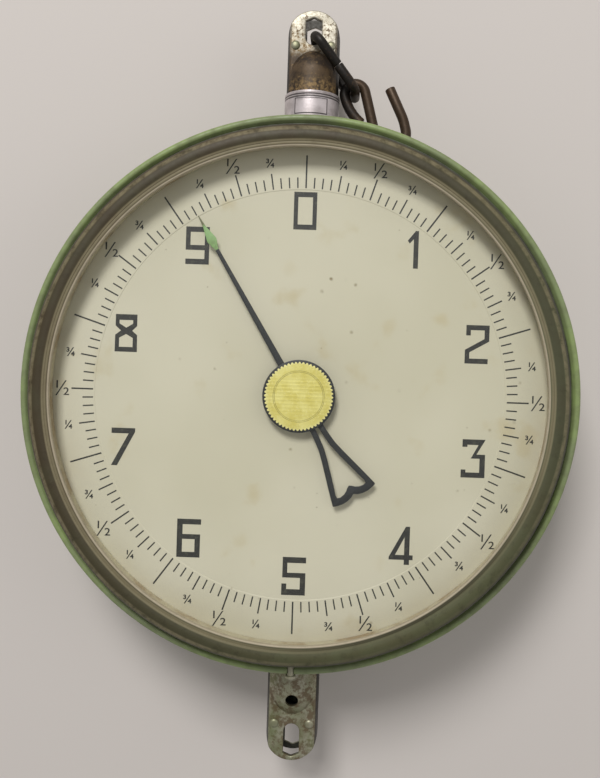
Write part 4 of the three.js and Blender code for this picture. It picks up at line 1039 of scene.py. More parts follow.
@dataclass
class Case:
    """The drawn pan with its flange and rolled rim, and the two screws in its back."""

    flange: float = -39.5
    back: float = 45.0
    wall: float = 1.5
    wall_radius: float = 163.0
    draft: float = 4.0
    corner: float = 18.0
    rim: float = 177.3
    bead: float = 2.3
    tube: float = 17.8
    bush: float = 19.9
    lock_y: float = -40.65
    screw_places: tuple[Point, ...] = ((-20.0, -28.0), (0.0, 48.0))

    def shell(self) -> bmesh.types.BMesh:
        """The pan with its holes."""
        behind = self.flange + self.wall
        foot = self.wall_radius - self.draft - self.corner
        low = self.back - self.corner
        bead = self.rim - self.bead
        outside = [
            (0, self.back),
            *arc((foot, low), self.corner, 90, 0, 16),
            *arc((self.wall_radius + 3, behind + 3), 3, 180, 270, 6),
            *arc((bead, self.flange), self.bead, 120, -150, 20),
            (bead - self.bead - 0.8, self.flange),
        ]
        inside = [
            *arc((self.wall_radius + 1.5, self.flange + 3), 3, 270, 180, 6),
            *arc((foot, low), self.corner - self.wall, 0, 90, 16),
            (0, self.back - self.wall),
        ]
        pan = turned([*outside, *inside], Axis.DIAL, closed=False, steps=288)
        upper = turned([(0, 80), (self.tube, 80), (self.tube, 185), (0, 185)], Axis.TUBE, False, 64)
        lower = turned([(0, -80), (self.bush, -80), (self.bush, -185), (0, -185)], Axis.TUBE, False, 64)
        lock = turned([(0, -165.8), (2.3, -165.8), (2.3, -180), (0, -180)], Axis.TUBE, False, 32)
        tools = [upper, lower, moved(lock, 0, self.lock_y, 0)]
        for x, z in self.screw_places:
            hole = turned([(0, 40), (2.3, 40), (2.3, 50), (0, 50)], Axis.DIAL, False, 32)
            tools.append(moved(hole, x, 0, z))
        return carved(pan, [("DIFFERENCE", tool) for tool in tools])

    def screw(self) -> bmesh.types.BMesh:
        """A cheese-head screw with a slot, its head's underside at the back."""
        seat = self.back + 0.3
        outline = [(0, seat + 3), (4, seat + 3), (4, seat), (2, seat), (2, seat - 8.5), (0, seat - 8.5)]
        body = turned(eased(outline, 0.6, False), Axis.DIAL, False, 40)
        slot = sheet([block(-0.55, -5, 0.55, 5)], seat + 1.9, seat + 4)
        return carved(body, [("DIFFERENCE", slot)])

    def build(self, shop: PaintShop) -> None:
        """Makes the case and its screws.

        Args:
            shop: The finishes.
        """
        piece("case_shell", self.shell(), Body.CASE, shop.enamel, ["case_pan"])
        for i, (x, z) in enumerate(self.screw_places, 1):
            screw = moved(self.screw(), x, 0, z)
            name = f"case_screw_{i}"
            piece(f"back_screw_{i}", screw, Body.CASE, shop.plating, [name])


@dataclass
class Bezel:
    """The pressed bezel, its lock screw, and the spacer and gasket at the glass's edge."""

    opening: float = 153.6
    outer: float = 168.2
    foot: float = -39.8
    crest: float = -58.0
    shoulder: float = 7.5
    wall: float = 1.4
    slope: float = 15.0
    lip_inner: float = -53.6
    line: float = 156.2
    lock_y: float = -40.65

    def ring(self) -> bmesh.types.BMesh:
        """The bezel's section turned about the dial's axis."""
        centre = (self.outer - self.shoulder, self.crest + self.shoulder)
        turn = 90 + self.slope
        over = arc(centre, self.shoulder, 0, -turn, 26)
        under = arc(centre, self.shoulder - self.wall, -turn, 0, 14)
        slope_r, slope_y = over[-1]
        tilt = math.tan(math.radians(self.slope))

        def on_slope(radius: float) -> float:
            """Y of the sloping face at a radius."""
            return slope_y + (slope_r - radius) * tilt

        lip = self.opening + 0.7
        outline = [
            (self.outer - 0.1, self.foot),
            (self.outer, self.foot - 0.3),
            *over,
            (self.line + 0.6, on_slope(self.line + 0.6)),
            (self.line + 0.3, on_slope(self.line) + 0.2),
            (self.line - 0.3, on_slope(self.line) + 0.2),
            (self.line - 0.6, on_slope(self.line - 0.6)),
            *arc((lip + 0.08, on_slope(lip) + 0.75), 0.76, -80, -180, 8),
            (self.opening + 0.02, self.lip_inner - 0.2),
            (self.opening + 0.3, self.lip_inner),
            (lip + self.wall, self.lip_inner),
            *under,
            (self.outer - self.wall, self.foot),
        ]
        ring = turned(outline, Axis.DIAL, steps=320)
        lock = turned([(0, -165.8), (2.3, -165.8), (2.3, -170), (0, -170)], Axis.TUBE, False, 32)
        return carved(ring, [("DIFFERENCE", moved(lock, 0, self.lock_y, 0))])

    def lock_screw(self) -> bmesh.types.BMesh:
        """The screw in the bottom of the rim, its head slotted."""
        seat = -177.6
        top = seat - 1.7
        outline = [(0, top), (3.4, top), (3.4, seat), (2, seat), (2, -166.8), (0, -166.8)]
        body = turned(eased(outline, 0.5, False), Axis.TUBE, False, 40)
        body = moved(body, 0, self.lock_y, 0)
        slot = sheet([block(-5, top - 1, 5, top + 0.8)], self.lock_y - 0.5, self.lock_y + 0.5)
        return carved(body, [("DIFFERENCE", slot)])

    def build(self, shop: PaintShop) -> None:
        """Makes the bezel, the lock screw, the spacer and the gasket.

        Args:
            shop: The finishes.
        """
        piece("bezel", self.ring(), Body.CASE, shop.bezel, ["bezel_ring"])
        lock = self.lock_screw()
        piece("rim_screw", lock, Body.CASE, shop.plating, ["bezel_lock_screw"])
        section = eased(block(156.2, -49.1, 161.2, -41.1), 0.5, True)
        spacer = turned(section, Axis.DIAL, steps=240)
        piece("spacer", spacer, Body.CASE, shop.cream, ["spacer_ring"])
        section = eased(block(154.6, -53.3, 161.2, -52.5), 0.25, True)
        gasket = turned(section, Axis.DIAL, steps=240)
        piece("gasket", gasket, Body.CASE, shop.rubber, ["glass_gasket"])
        section = eased([(0, -52.2), (161.7, -52.2), (161.7, -49.4), (0, -49.4)], 0.4, False)
        glass = turned(section, Axis.DIAL, False, 240)
        piece("glass_disc", glass, Body.CASE, shop.glass, ["glass_lens"])


# Numerals on a grid of about 23 by 38 units, each an outer outline followed by its holes
NUMERALS: dict[str, list[list[Point]]] = {
    "0": [block(0, 0, 23, 37.5), block(4.2, 5.1, 18.8, 32.4)],
    "1": [
        [(6, 0), (10.8, 0), (10.8, 37.5), (7.8, 37.5), (0, 27.6), (2, 24.8), (6, 29.2)],
    ],
    "2": [
        [
            *[(0, 0), (23, 0), (23, 5), (4.5, 5), (4.5, 11.2), (23.9, 22.4), (23.9, 38.4)],
            *[(0.8, 38.4), (0.8, 28), (5.3, 28), (5.3, 33.4), (19.1, 33.4), (19.1, 24.8), (0, 13.6)],
        ],
    ],
    "3": [
        [
            *[(0, 0), (23.8, 0), (23.8, 23.3), (15.2, 23.3), (23.8, 38.3), (0.9, 38.3)],
            *[(0.9, 30.7), (5.9, 30.7), (5.9, 32.9), (17, 32.9), (9.6, 19.2), (18.4, 19.2)],
            *[(18.4, 5.2), (4.7, 5.2), (4.7, 8), (0, 8)],
        ],
    ],
    "4": [
        [
            *[(15.3, 0), (20.5, 0), (20.5, 4.9), (24, 4.9), (24, 9.7), (20.5, 9.7), (20.5, 38.3)],
            *[(16.4, 38.3), (0, 7.6), (0, 4.9), (15.3, 4.9)],
        ],
        [(15.3, 27.6), (15.3, 9.7), (6.2, 9.7)],
    ],
    "5": [
        [
            *[(0, 0), (23.8, 0), (23.8, 22.5), (5.4, 22.5), (5.4, 32.5), (24, 32.5), (24, 38.3)],
            *[(0.6, 38.3), (0.6, 17.6), (18.4, 17.6), (18.4, 6), (4.9, 6), (4.9, 11.5), (0, 11.5)],
        ],
    ],
    "6": [
        [
            *[(0, 0), (23.4, 0), (23.4, 23.3), (5.6, 23.3), (5.6, 33.2), (24, 33.2), (24, 38.6)],
            (0, 38.6),
        ],
        block(5.4, 5.4, 18, 18.4),
    ],
    "7": [
        [(0.3, 0), (6.3, 0), (23.7, 34), (23.7, 37.7), (0, 37.7), (0, 32.3), (17.3, 32.3)],
    ],
    "8": [
        [
            *[(0, 0), (22.4, 0), (22.2, 16.8), (17.2, 21.2), (22, 26), (22, 37.5), (0.4, 37.5)],
            *[(0.4, 26), (5.9, 21.2), (0.2, 16.8)],
        ],
        [(4.2, 31.8), (17.9, 31.8), (17.9, 28.3), (11.1, 24.1), (4.2, 28.3)],
        [(4.2, 4.8), (17.9, 4.8), (17.9, 13.9), (11.1, 17.8), (4.2, 13.9)],
    ],
    "9": [
        [
            *[(0, 0), (23.5, 0), (23.5, 37.5), (0, 37.5), (0, 14.3), (18.9, 14.3), (18.9, 5.4)],
            (0, 5.4),
        ],
        block(4.6, 19.2, 18.9, 32.3),
    ],
}


@dataclass
class Dial:
    """The dial plate with its sunk middle, its marks, numerals and fractions."""

    front: float = -40.8
    thickness: float = 1.0
    hole: float = 7.0
    edge: float = 165.2
    step: float = 129.9
    sunk: float = 0.35
    ink: float = 0.06
    mark_start: float = 130.8
    marks: dict[int, Point] = field(
        default_factory=lambda: {16: (151.4, 1.0), 8: (144.6, 0.95), 4: (140.8, 0.9), 1: (137.5, 0.85)}
    )
    numeral_unit: float = 0.632
    numeral_radius: dict[str, float] = field(
        default_factory=lambda: {
            **dict.fromkeys("012378", 116.6),
            **dict.fromkeys("4569", 114.6),
        }
    )

    def plate(self) -> bmesh.types.BMesh:
        """The plate, its middle sunk a little inside the ring of marks."""
        low = self.front + self.sunk
        outline = [
            (self.hole, self.front + self.thickness),
            (self.hole, low + 0.1),
            (self.hole + 0.1, low),
            (self.step - 0.5, low),
            (self.step - 0.3, low - 0.04),
            (self.step + 0.1, self.front + 0.04),
            (self.step + 0.4, self.front),
            (self.edge - 0.2, self.front),
            (self.edge, self.front + 0.2),
            (self.edge, self.front + self.thickness),
        ]
        return turned(outline, Axis.DIAL, steps=256)

    def scale_marks(self) -> bmesh.types.BMesh:
        """160 marks, 16 to a pound and ten pounds to a turn."""
        shape = bmesh.new()
        depth = self.ink
        for i in range(160):
            end, width = next(self.marks[n] for n in (16, 8, 4, 1) if i % n == 0)
            length = end - self.mark_start
            size = Matrix.Diagonal((width, depth, length, 1))
            middle = (0, self.front - depth / 2 + 0.01, self.mark_start + length / 2)
            turn = Matrix.Rotation(2 * math.pi * i / 160, 4, "Y")
            place = turn @ Matrix.Translation(middle) @ size
            bmesh.ops.create_cube(shape, size=1, matrix=place)
        return shape

    def numerals(self) -> bmesh.types.BMesh:
        """The ten numerals, upright on their circle."""
        face = self.front + self.sunk
        made = []
        for number, outlines in NUMERALS.items():
            flat = [[(x * self.numeral_unit, z * self.numeral_unit) for x, z in o] for o in outlines]
            wide = max(x for x, _ in flat[0]) / 2
            high = max(z for _, z in flat[0]) / 2
            angle = math.radians(36 * int(number))
            radius = self.numeral_radius[number]
            cx, cz = radius * math.sin(angle) - wide, radius * math.cos(angle) - high
            made.append(moved(sheet(flat, face - self.ink, face + 0.01), cx, 0, cz))
        return joined(made)

    def fractions(self) -> bmesh.types.BMesh:
        """The small fractions at the quarter, half and three-quarter marks."""
        made = []
        kinds = ((4, "¼", 7.6, 147.6), (8, "½", 13.4, 150.4), (12, "¾", 7.6, 147.6))
        for pound in range(10):
            for mark, word, size, radius in kinds:
                angle = 2 * math.pi * (pound * 16 + mark) / 160
                data = bpy.data.curves.new("fraction", "FONT")
                data.body = word
                data.size = size
                data.extrude = self.ink / 2
                data.offset = 0.12 if size < 10 else 0.02
                shape = shape_of(data)
                xs = [v.co.x for v in shape.verts]
                ys = [v.co.y for v in shape.verts]
                shape.transform(
                    Matrix.Translation((-(min(xs) + max(xs)) / 2, -(min(ys) + max(ys)) / 2, 0))
                )
                shape.transform(Matrix.Rotation(math.pi / 2, 4, "X"))
                x, z = radius * math.sin(angle), radius * math.cos(angle)
                made.append(moved(shape, x, self.front - self.ink / 2 + 0.01, z))
        return joined(made)

    def build(self, shop: PaintShop) -> None:
        """Makes the plate and what is printed on it.

        Args:
            shop: The finishes.
        """
        piece("dial_face", self.plate(), Body.CASE, shop.card, ["dial_plate"], 20)
        piece("dial_marks", self.scale_marks(), Body.CASE, shop.ink)
        piece("dial_numerals", self.numerals(), Body.CASE, shop.ink)
        piece("dial_fractions", self.fractions(), Body.CASE, shop.ink)


@dataclass
class Pointer:
    """The pointer with its kite and open tail, the disc over its hub and the foil seal."""

    front: float = -46.2
    back: float = -45.4
    turn: float = -31.0
    bore: float = 2.3
    boss: float = 8.0
    disc: float = 22.8
    disc_front: float = -48.0
    disc_back: float = -47.2
    seal: float = 21.6
    points: int = 56
    point_depth: float = 1.3

    def blade_outlines(self) -> list[list[Point]]:
        """The blade's outline and its opening, drawn straight up."""
        half = [
            *[(2.3, 8), (1.15, 106), (2.35, 109.2), (3.0, 111.4), (2.9, 112.6), (0.9, 121)],
            (0.3, 129),
        ]
        flare = [(15.1, -70.6), (13.75, -65.4), (11.85, -58.3), (9.55, -50.2), (7.4, -42.4)]
        flare += [(5.8, -36), (5.1, -30), (4.7, -24), (4.4, -16), (4.2, -7)]
        lobes = [(2.2, -71.4), (5.5, -72.3), (9.0, -72.5), (12.4, -71.9), (14.6, -71.2)]
        right = [(0, -70.0), *lobes, *flare, *half]
        left = [(-x, z) for x, z in reversed(right[1:])]
        inner = [(1.7, -65.1), (3.2, -66.5), (5.4, -67.6), (8.2, -68.1), (10.2, -67.5)]
        inner += [(10.2, -65.6), (8.35, -59.5), (5.95, -51.0), (3.75, -43.0), (2.2, -36.4)]
        inner += [(1.5, -30), (1.1, -24), (0.6, -19)]
        hole = [(0, -64.1), *inner, (0, -18), *[(-x, z) for x, z in reversed(inner)]]
        return [[*right, *left], hole]

    def blade(self) -> bmesh.types.BMesh:
        """The blade with its boss, turned to rest."""
        flat = sheet(self.blade_outlines(), self.front, self.back, 0.14)
        boss = eased(block(self.bore, self.front, self.boss, self.back), 0.15, True)
        whole = carved(flat, [("UNION", turned(boss, Axis.DIAL, steps=64))])
        bore = [(0, self.front - 1), (self.bore, self.front - 1)]
        bore += [(self.bore, self.back + 1), (0, self.back + 1)]
        whole = carved(whole, [("DIFFERENCE", turned(bore, Axis.DIAL, False, 48))])
        whole.transform(Matrix.Rotation(math.radians(self.turn), 4, "Y"))
        return whole

    def hub(self) -> bmesh.types.BMesh:
        """The domed edge disc over the hub."""
        outline = [
            (0, self.disc_front),
            (self.disc - 0.5, self.disc_front),
            (self.disc - 0.12, self.disc_front + 0.12),
            (self.disc, self.disc_front + 0.4),
            (self.disc - 0.12, self.disc_back - 0.1),
            (self.disc - 0.4, self.disc_back),
            (6, self.disc_back),
            (6, self.front - 0.3),
            (2.3, self.front - 0.3),
            (2.3, self.disc_back),
            (0, self.disc_back),
        ]
        return turned(outline, Axis.DIAL, False, 160)

    def foil(self) -> bmesh.types.BMesh:
        """The seal with its serrated edge and an embossed ring."""
        rim = []
        shoulder, dip = self.seal - 0.25, self.seal - self.point_depth
        tooth = ((0.0, self.seal), (0.2, shoulder), (0.5, dip), (0.8, shoulder))
        for i in range(self.points):
            for share, radius in tooth:
                angle = 2 * math.pi * (i + share) / self.points
                rim.append((radius * math.cos(angle), radius * math.sin(angle)))
        front = self.disc_front - 0.3 - 0.3
        flat = sheet([rim], front, front + 0.3, 0.05)
        rings = []
        for radius in (16.0, 15.2):
            section = arc((radius, front + 0.05), 0.14, 180, 360, 6)
            rings.append(turned(section, Axis.DIAL, steps=160))
        return joined([flat, *rings])

    def build(self, shop: PaintShop) -> None:
        """Makes the blade, the disc, the seal and the collet.

        Args:
            shop: The finishes.
        """
        piece("pointer_blade", self.blade(), Body.POINTER, shop.pointer, ["pointer"])
        piece("hub_cover", self.hub(), Body.POINTER, shop.pointer, ["hub_disc"])
        piece("foil_seal", self.foil(), Body.POINTER, shop.foil, ["hub_seal"])
        section = eased(block(2.3, -45.1, 6.0, -37.8), 0.4, True)
        collet = turned(section, Axis.DIAL, steps=48)
        piece("collet", collet, Body.POINTER, shop.brass, ["pointer_collet"])


@dataclass
class EyeTube:
    """A tube whose end is pressed into two flat cheeks with a pointed slot."""

    length: float
    slot_margin: float
    slot_length: float
    arch: float
    rivet_drop: float
    pin_hole: bool
    radius: float = 17.5
    wall: float = 2.5
    face: float = 9.9
    cheek: float = 3.0
    slot_width: float = 10.7
    slot_point: float = 2.2
    arch_height: float = 16.0
    rivet_spacing: float = 23.6
    hole_radius: float = 4.3
    hole_drop: float = 43.3
    edge: float = 0.8

    def dome(self, radius: float, face: float) -> list[Point]:
        """The outline where the round tube draws in to the cheeks."""
        foot = -self.arch - self.arch_height
        steps = 20
        return [
            (radius - (radius - face) * (i / steps) ** 2, foot + self.arch_height * i / steps)
            for i in range(steps + 1)
        ]

    def slot(self) -> list[Point]:
        """The slot's outline, pointed at its upper end and round at its foot."""
        half = self.slot_width / 2
        top = -self.slot_margin
        foot = top - self.slot_length + half
        peak = eased([(half, top - self.slot_point), (0, top), (-half, top - self.slot_point)], 0.8, False)
        return [*peak, *arc((0, foot), half, 180, 360, 24)]

    def shape(self) -> bmesh.types.BMesh:
        """The tube with its crown at 0, its open end below."""
        foot = -self.arch - self.arch_height
        bore = self.radius - self.wall
        inner_face = self.face - self.cheek
        end = -self.length
        outer = [
            (0, end),
            (self.radius - 0.3, end),
            (self.radius, end + 0.3),
            *self.dome(self.radius, self.face),
            (inner_face, -self.arch + 2),
            (0, -self.arch + 2),
        ]
        inner = [(0, end - 1), (bore, end - 1), *self.dome(bore, inner_face), (0, -self.arch)]
        crown = [(self.radius, foot), *arc((0, -self.radius), self.radius, 0, 180, 48)]
        crown += [(-self.radius, foot)]
        cheeks = sheet([crown, self.slot()], -self.face, self.face, self.edge)
        stock = turned([(0, end), (self.radius, end), (self.radius, 1), (0, 1)], Axis.TUBE, False, 96)
        cheeks = carved(cheeks, [("INTERSECT", stock)])
        gap = sheet([block(-bore, foot, bore, 1)], -inner_face, inner_face)
        tools = [("UNION", cheeks)]
        tools.append(("DIFFERENCE", turned(inner, Axis.TUBE, False, 72)))
        tools.append(("DIFFERENCE", gap))
        for side in (-1, 1):
            hole = turned([(0, -30), (2.3, -30), (2.3, 30), (0, 30)], Axis.DIAL, False, 32)
            place = moved(hole, side * self.rivet_spacing / 2, 0, -self.rivet_drop)
            tools.append(("DIFFERENCE", place))
        if self.pin_hole:
            bore_line = [(0, -30), (self.hole_radius, -30), (self.hole_radius, 0), (0, 0)]
            hole = turned(bore_line, Axis.DIAL, False, 48)
            tools.append(("DIFFERENCE", moved(hole, 0, 0, -self.hole_drop)))
        pin = turned([(0, -30), (3.3, -30), (3.3, 30), (0, 30)], Axis.DIAL, False, 32)
        tools.append(("DIFFERENCE", moved(pin, 0, 0, end + 13)))
        return carved(turned(outer, Axis.TUBE, False, 96), tools)

    def rivet(self) -> bmesh.types.BMesh:
        """A rivet through both cheeks with a low round head at each side."""
        seat = self.face + 0.05
        head = [(3.0, seat), (2.95, seat + 0.35), (2.6, seat + 0.85), (1.8, seat + 1.25)]
        head += [(0.9, seat + 1.4), (0, seat + 1.42)]
        back = [(r, y) for r, y in head]
        front = [(r, -y) for r, y in reversed(head)]
        outline = [*front, (2.0, -seat), (2.0, seat), *back]
        return moved(turned(outline, Axis.DIAL, False, 40), 0, 0, -self.rivet_drop)


@dataclass
class Tubes:
    """Both tubes with their rivets, the band, the collar, the guide bush and its ring nut."""

    upper_crown: float = 254.8
    lower_crown: float = -247.9
    band_top: float = 199.6
    band_height: float = 25.4
    band_bore: float = 17.8
    band_wall: float = 0.8
    collar_low: float = 163.3
    nut_top: float = -163.3
    upper: EyeTube = field(default_factory=lambda: EyeTube(132.8, 4.8, 18.0, 26.8, 23.4, False))
    lower: EyeTube = field(default_factory=lambda: EyeTube(142.9, 2.6, 22.2, 31.5, 25.2, True))

    def band(self) -> bmesh.types.BMesh:
        """The band with two fine beads at each end, and the blank framed plate on its front."""
        low = self.band_top - self.band_height
        r, wall = self.band_bore, self.band_wall
        outer = r + wall
        side: list[Point] = [(outer - 0.2, low)]
        for centre in (low + 1.4, low + 3.0, self.band_top - 3.0, self.band_top - 1.4):
            side += [(outer - 0.12, centre - 0.62)]
            side += arc((outer - 0.42, centre), 0.42, -70, 70, 6)
            side += [(outer - 0.12, centre + 0.62)]
        side += [(outer - 0.2, self.band_top)]
        sleeve = turned([(r, low), *side, (r, self.band_top)], Axis.TUBE, steps=128)
        return joined([sleeve, self.name_plate(outer)])

    def name_plate(self, radius: float) -> bmesh.types.BMesh:
        """A blank plate with a raised frame, bent round the band's front."""
        middle = self.band_top - self.band_height / 2 + 2.7
        wide, high = 11.4, 5.2
        frame_sheet = eased(block(-wide, -high, wide, high), 1.0, True)
        inner = eased(block(-wide + 0.8, -high + 0.8, wide - 0.8, high - 0.8), 0.6, True)
        shapes = [
            sheet([frame_sheet], -0.02, 0.3, 0.05),
            sheet([frame_sheet, inner], -0.16, 0.1, 0.06),
        ]
        plate = joined(shapes)
        for i in range(-14, 15):
            geom = [*plate.verts, *plate.edges, *plate.faces]
            bmesh.ops.bisect_plane(plate, geom=geom, plane_co=(i * 0.8, 0, 0), plane_no=(1, 0, 0))
        for vert in plate.verts:
            angle = vert.co.x / radius
            far = radius - vert.co.y
            vert.co = Vector((far * math.sin(angle), -far * math.cos(angle), vert.co.z + middle))
        return plate

    def collar(self) -> bmesh.types.BMesh:
        """The collar on top of the case."""
        section = block(17.8, self.collar_low, 23.8, self.collar_low + 7)
        return turned(eased(section, 0.8, True), Axis.TUBE, steps=96)

    def bush(self) -> bmesh.types.BMesh:
        """The guide bush, flanged inside the case."""
        low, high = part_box("guide_bush")
        top = (high.z - DIAL_CENTRE.z) * 1000
        foot = (low.z - DIAL_CENTRE.z) * 1000
        outline = [(17.6, foot), (19.6, foot), (19.6, top - 3), (24.6, top - 3), (24.6, top), (17.6, top)]
        return turned(eased(outline, 0.4, True), Axis.TUBE, steps=96)

    def nut(self) -> bmesh.types.BMesh:
        """The ring nut below the case, with four spanner notches."""
        section = block(19.9, self.nut_top - 4, 24.6, self.nut_top)
        ring = turned(eased(section, 0.5, True), Axis.TUBE, steps=96)
        tools = []
        for i in range(4):
            notch = sheet([block(-2, self.nut_top - 5, 2, self.nut_top + 1)], -30, -23.1)
            notch.transform(Matrix.Rotation(math.pi * (i / 2 + 0.25), 4, "Z"))
            tools.append(("DIFFERENCE", notch))
        return carved(ring, tools)

    def build(self, shop: PaintShop) -> None:
        """Makes the tubes and what sits on them.

        Args:
            shop: The finishes.
        """
        upper = moved(self.upper.shape(), 0, 0, self.upper_crown)
        piece("upper_eye_tube", upper, Body.CASE, shop.rusted, ["upper_tube"])
        lower = self.lower.shape()
        lower.transform(Matrix.Diagonal((1, 1, -1, 1)))
        bmesh.ops.reverse_faces(lower, faces=lower.faces)
        lower = moved(lower, 0, 0, self.lower_crown)
        piece("lower_eye_tube", lower, Body.LOAD, shop.spotted, ["lower_tube"])
        for side, x in (("left", -self.upper.rivet_spacing / 2), ("right", self.upper.rivet_spacing / 2)):
            rivet = moved(self.upper.rivet(), x, 0, self.upper_crown)
            names = (f"top_rivet_{side}", f"upper_rivet_{side}")
            piece(names[0], rivet, Body.CASE, shop.plating, [names[1]])
            drop = self.lower_crown + 2 * self.lower.rivet_drop
            rivet = moved(self.lower.rivet(), x, 0, drop)
            names = (f"bottom_rivet_{side}", f"lower_rivet_{side}")
            piece(names[0], rivet, Body.LOAD, shop.plating, [names[1]])
        piece("band", self.band(), Body.CASE, shop.band, ["tube_band"])
        piece("top_collar", self.collar(), Body.CASE, shop.dark, ["outer_collar"])
        piece("bush", self.bush(), Body.CASE, shop.brass, ["guide_bush"])
        piece("ring_nut", self.nut(), Body.CASE, shop.brass, ["guide_bush_nut"])


@dataclass
class Hanger:
    """The link through the upper eye and the hook on it, bent from round wire."""

    link_wire: float = 3.2
    pivot: Point = (1.15, 235.9)
    link_length: float = 42.9
    head_width: float = 45.5
    foot_width: float = 24.0
    middle: float = 1.25
    link_corner: float = 6.5
    link_angle: float = 40.2
    joint: float = 0.5
    joint_place: float = 24.45
    hook_wire: float = 3.5
    eye_play: float = 0.4
    eye_side: float = 32.7
    end_gap: float = 0.3
    hook_angle: float = 14.7
    bend: float = 10.5
    shank: float = 31.0
    tip_rise: float = 7.0
    tip_length: float = 23.0
    tip_lean: float = 11.0

    def hung(self, along: float) -> Point:
        """X and z of a spot on the link's middle line, at a length from its upper end."""
        lean = math.radians(self.link_angle)
        return (self.pivot[0] + along * math.sin(lean), self.pivot[1] - along * math.cos(lean))

    def link_route(self) -> list[Vector]:
        """The link's route, from one side of its butt joint round to the other."""
        half, foot_half = self.head_width / 2, self.foot_width / 2
        lean = math.degrees(math.atan2(half - foot_half, self.link_length))
        slope = math.tan(math.radians(lean))
        round_ = self.link_corner
        head = half - round_ / math.tan(math.radians((90 - lean) / 2))
        foot = foot_half - round_ / math.tan(math.radians((90 + lean) / 2))
        low = self.link_length - round_
        start, stop = self.joint_place + self.joint / 2, self.joint_place - self.joint / 2
        outline = [
            (start, start * slope - half),
            *arc((low, -foot), round_, lean - 90, 0, 12),
            *arc((low, foot), round_, 0, 90 - lean, 12),
            *arc((round_, head), round_, 90 - lean, 180, 12),
            *arc((round_, -head), round_, 180, 270 + lean, 12),
            (stop, stop * slope - half),
        ]
        made = []
        for along, across in outline:
            x, z = self.hung(along)
            made.append(Vector((x, self.middle + across, z)))
        return made

    def hook_route(self) -> list[Vector]:
        """The hook's route, from the loose end of its eye to its point."""
        loop = self.link_wire + self.hook_wire + self.eye_play
        bend_x = loop + self.bend
        tip_x = bend_x + self.bend
        foot = self.shank - self.tip_rise
        lean = math.radians(self.tip_lean)
        tip = (tip_x - self.tip_length * math.sin(lean), foot - self.tip_length * math.cos(lean))
        rise = eased([(tip_x, self.shank), (tip_x, foot), tip], 7.0, False, 12)
        side = self.eye_side - loop
        loose = loop - 2 * self.hook_wire - self.end_gap
        opening = math.degrees(math.acos((loose - side) / self.eye_side))
        route = [
            *arc((side, 0), self.eye_side, opening, 180, 16)[:-1],
            *arc((0, 0), loop, -180, 0, 28),
            *arc((bend_x, self.shank), self.bend, 180, 0, 32),
            *rise[1:],
        ]
        x0, z0 = self.hung(self.link_length)
        turn = math.radians(self.hook_angle)
        made = []
        for across, down in route:
            x = x0 + across * math.cos(turn) + down * math.sin(turn)
            z = z0 + across * math.sin(turn) - down * math.cos(turn)
            made.append(Vector((x, self.middle, z)))
        return made

    def build(self, shop: PaintShop) -> None:
        """Makes the link and the hook.

        Args:
            shop: The finishes.
        """
        link = bent_wire(self.link_route(), self.link_wire)
        piece("link_wire", link, Body.LINK, shop.wire, ["hanger_link"], 50)
        hook = bent_wire(self.hook_route(), self.hook_wire)
        piece("hook_wire", hook, Body.HOOK, shop.wire, ["hanger_hook"], 50)


@dataclass
class Works:
    """The inner pieces, which keep their CAD shape and get their finish here."""

    brass: tuple[str, ...] = (
        *("zero_nut", "front_plate", "rear_plate", "front_bush", "rear_bush", "rack"),
        "rack_roller",
    )
    dark: tuple[str, ...] = ("inner_collar", "upper_crosshead", "lower_crosshead")
    spring: tuple[str, ...] = ("spring_left", "spring_right")

    def build(self, shop: PaintShop) -> None:
        """Gives every CAD node that is still shown its finish.

        Args:
            shop: The finishes.
        """
        for name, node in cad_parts.items():
            if node.hide_render:
                continue
            if name in self.brass:
                finish = shop.brass
            elif name in self.dark:
                finish = shop.dark
            elif name in self.spring:
                finish = shop.spring
            else:
                finish = shop.bright
            node.data.materials.clear()
            node.data.materials.append(finish)
            LOG.info("%s: CAD shape, %s", name, finish.name)


# Studio


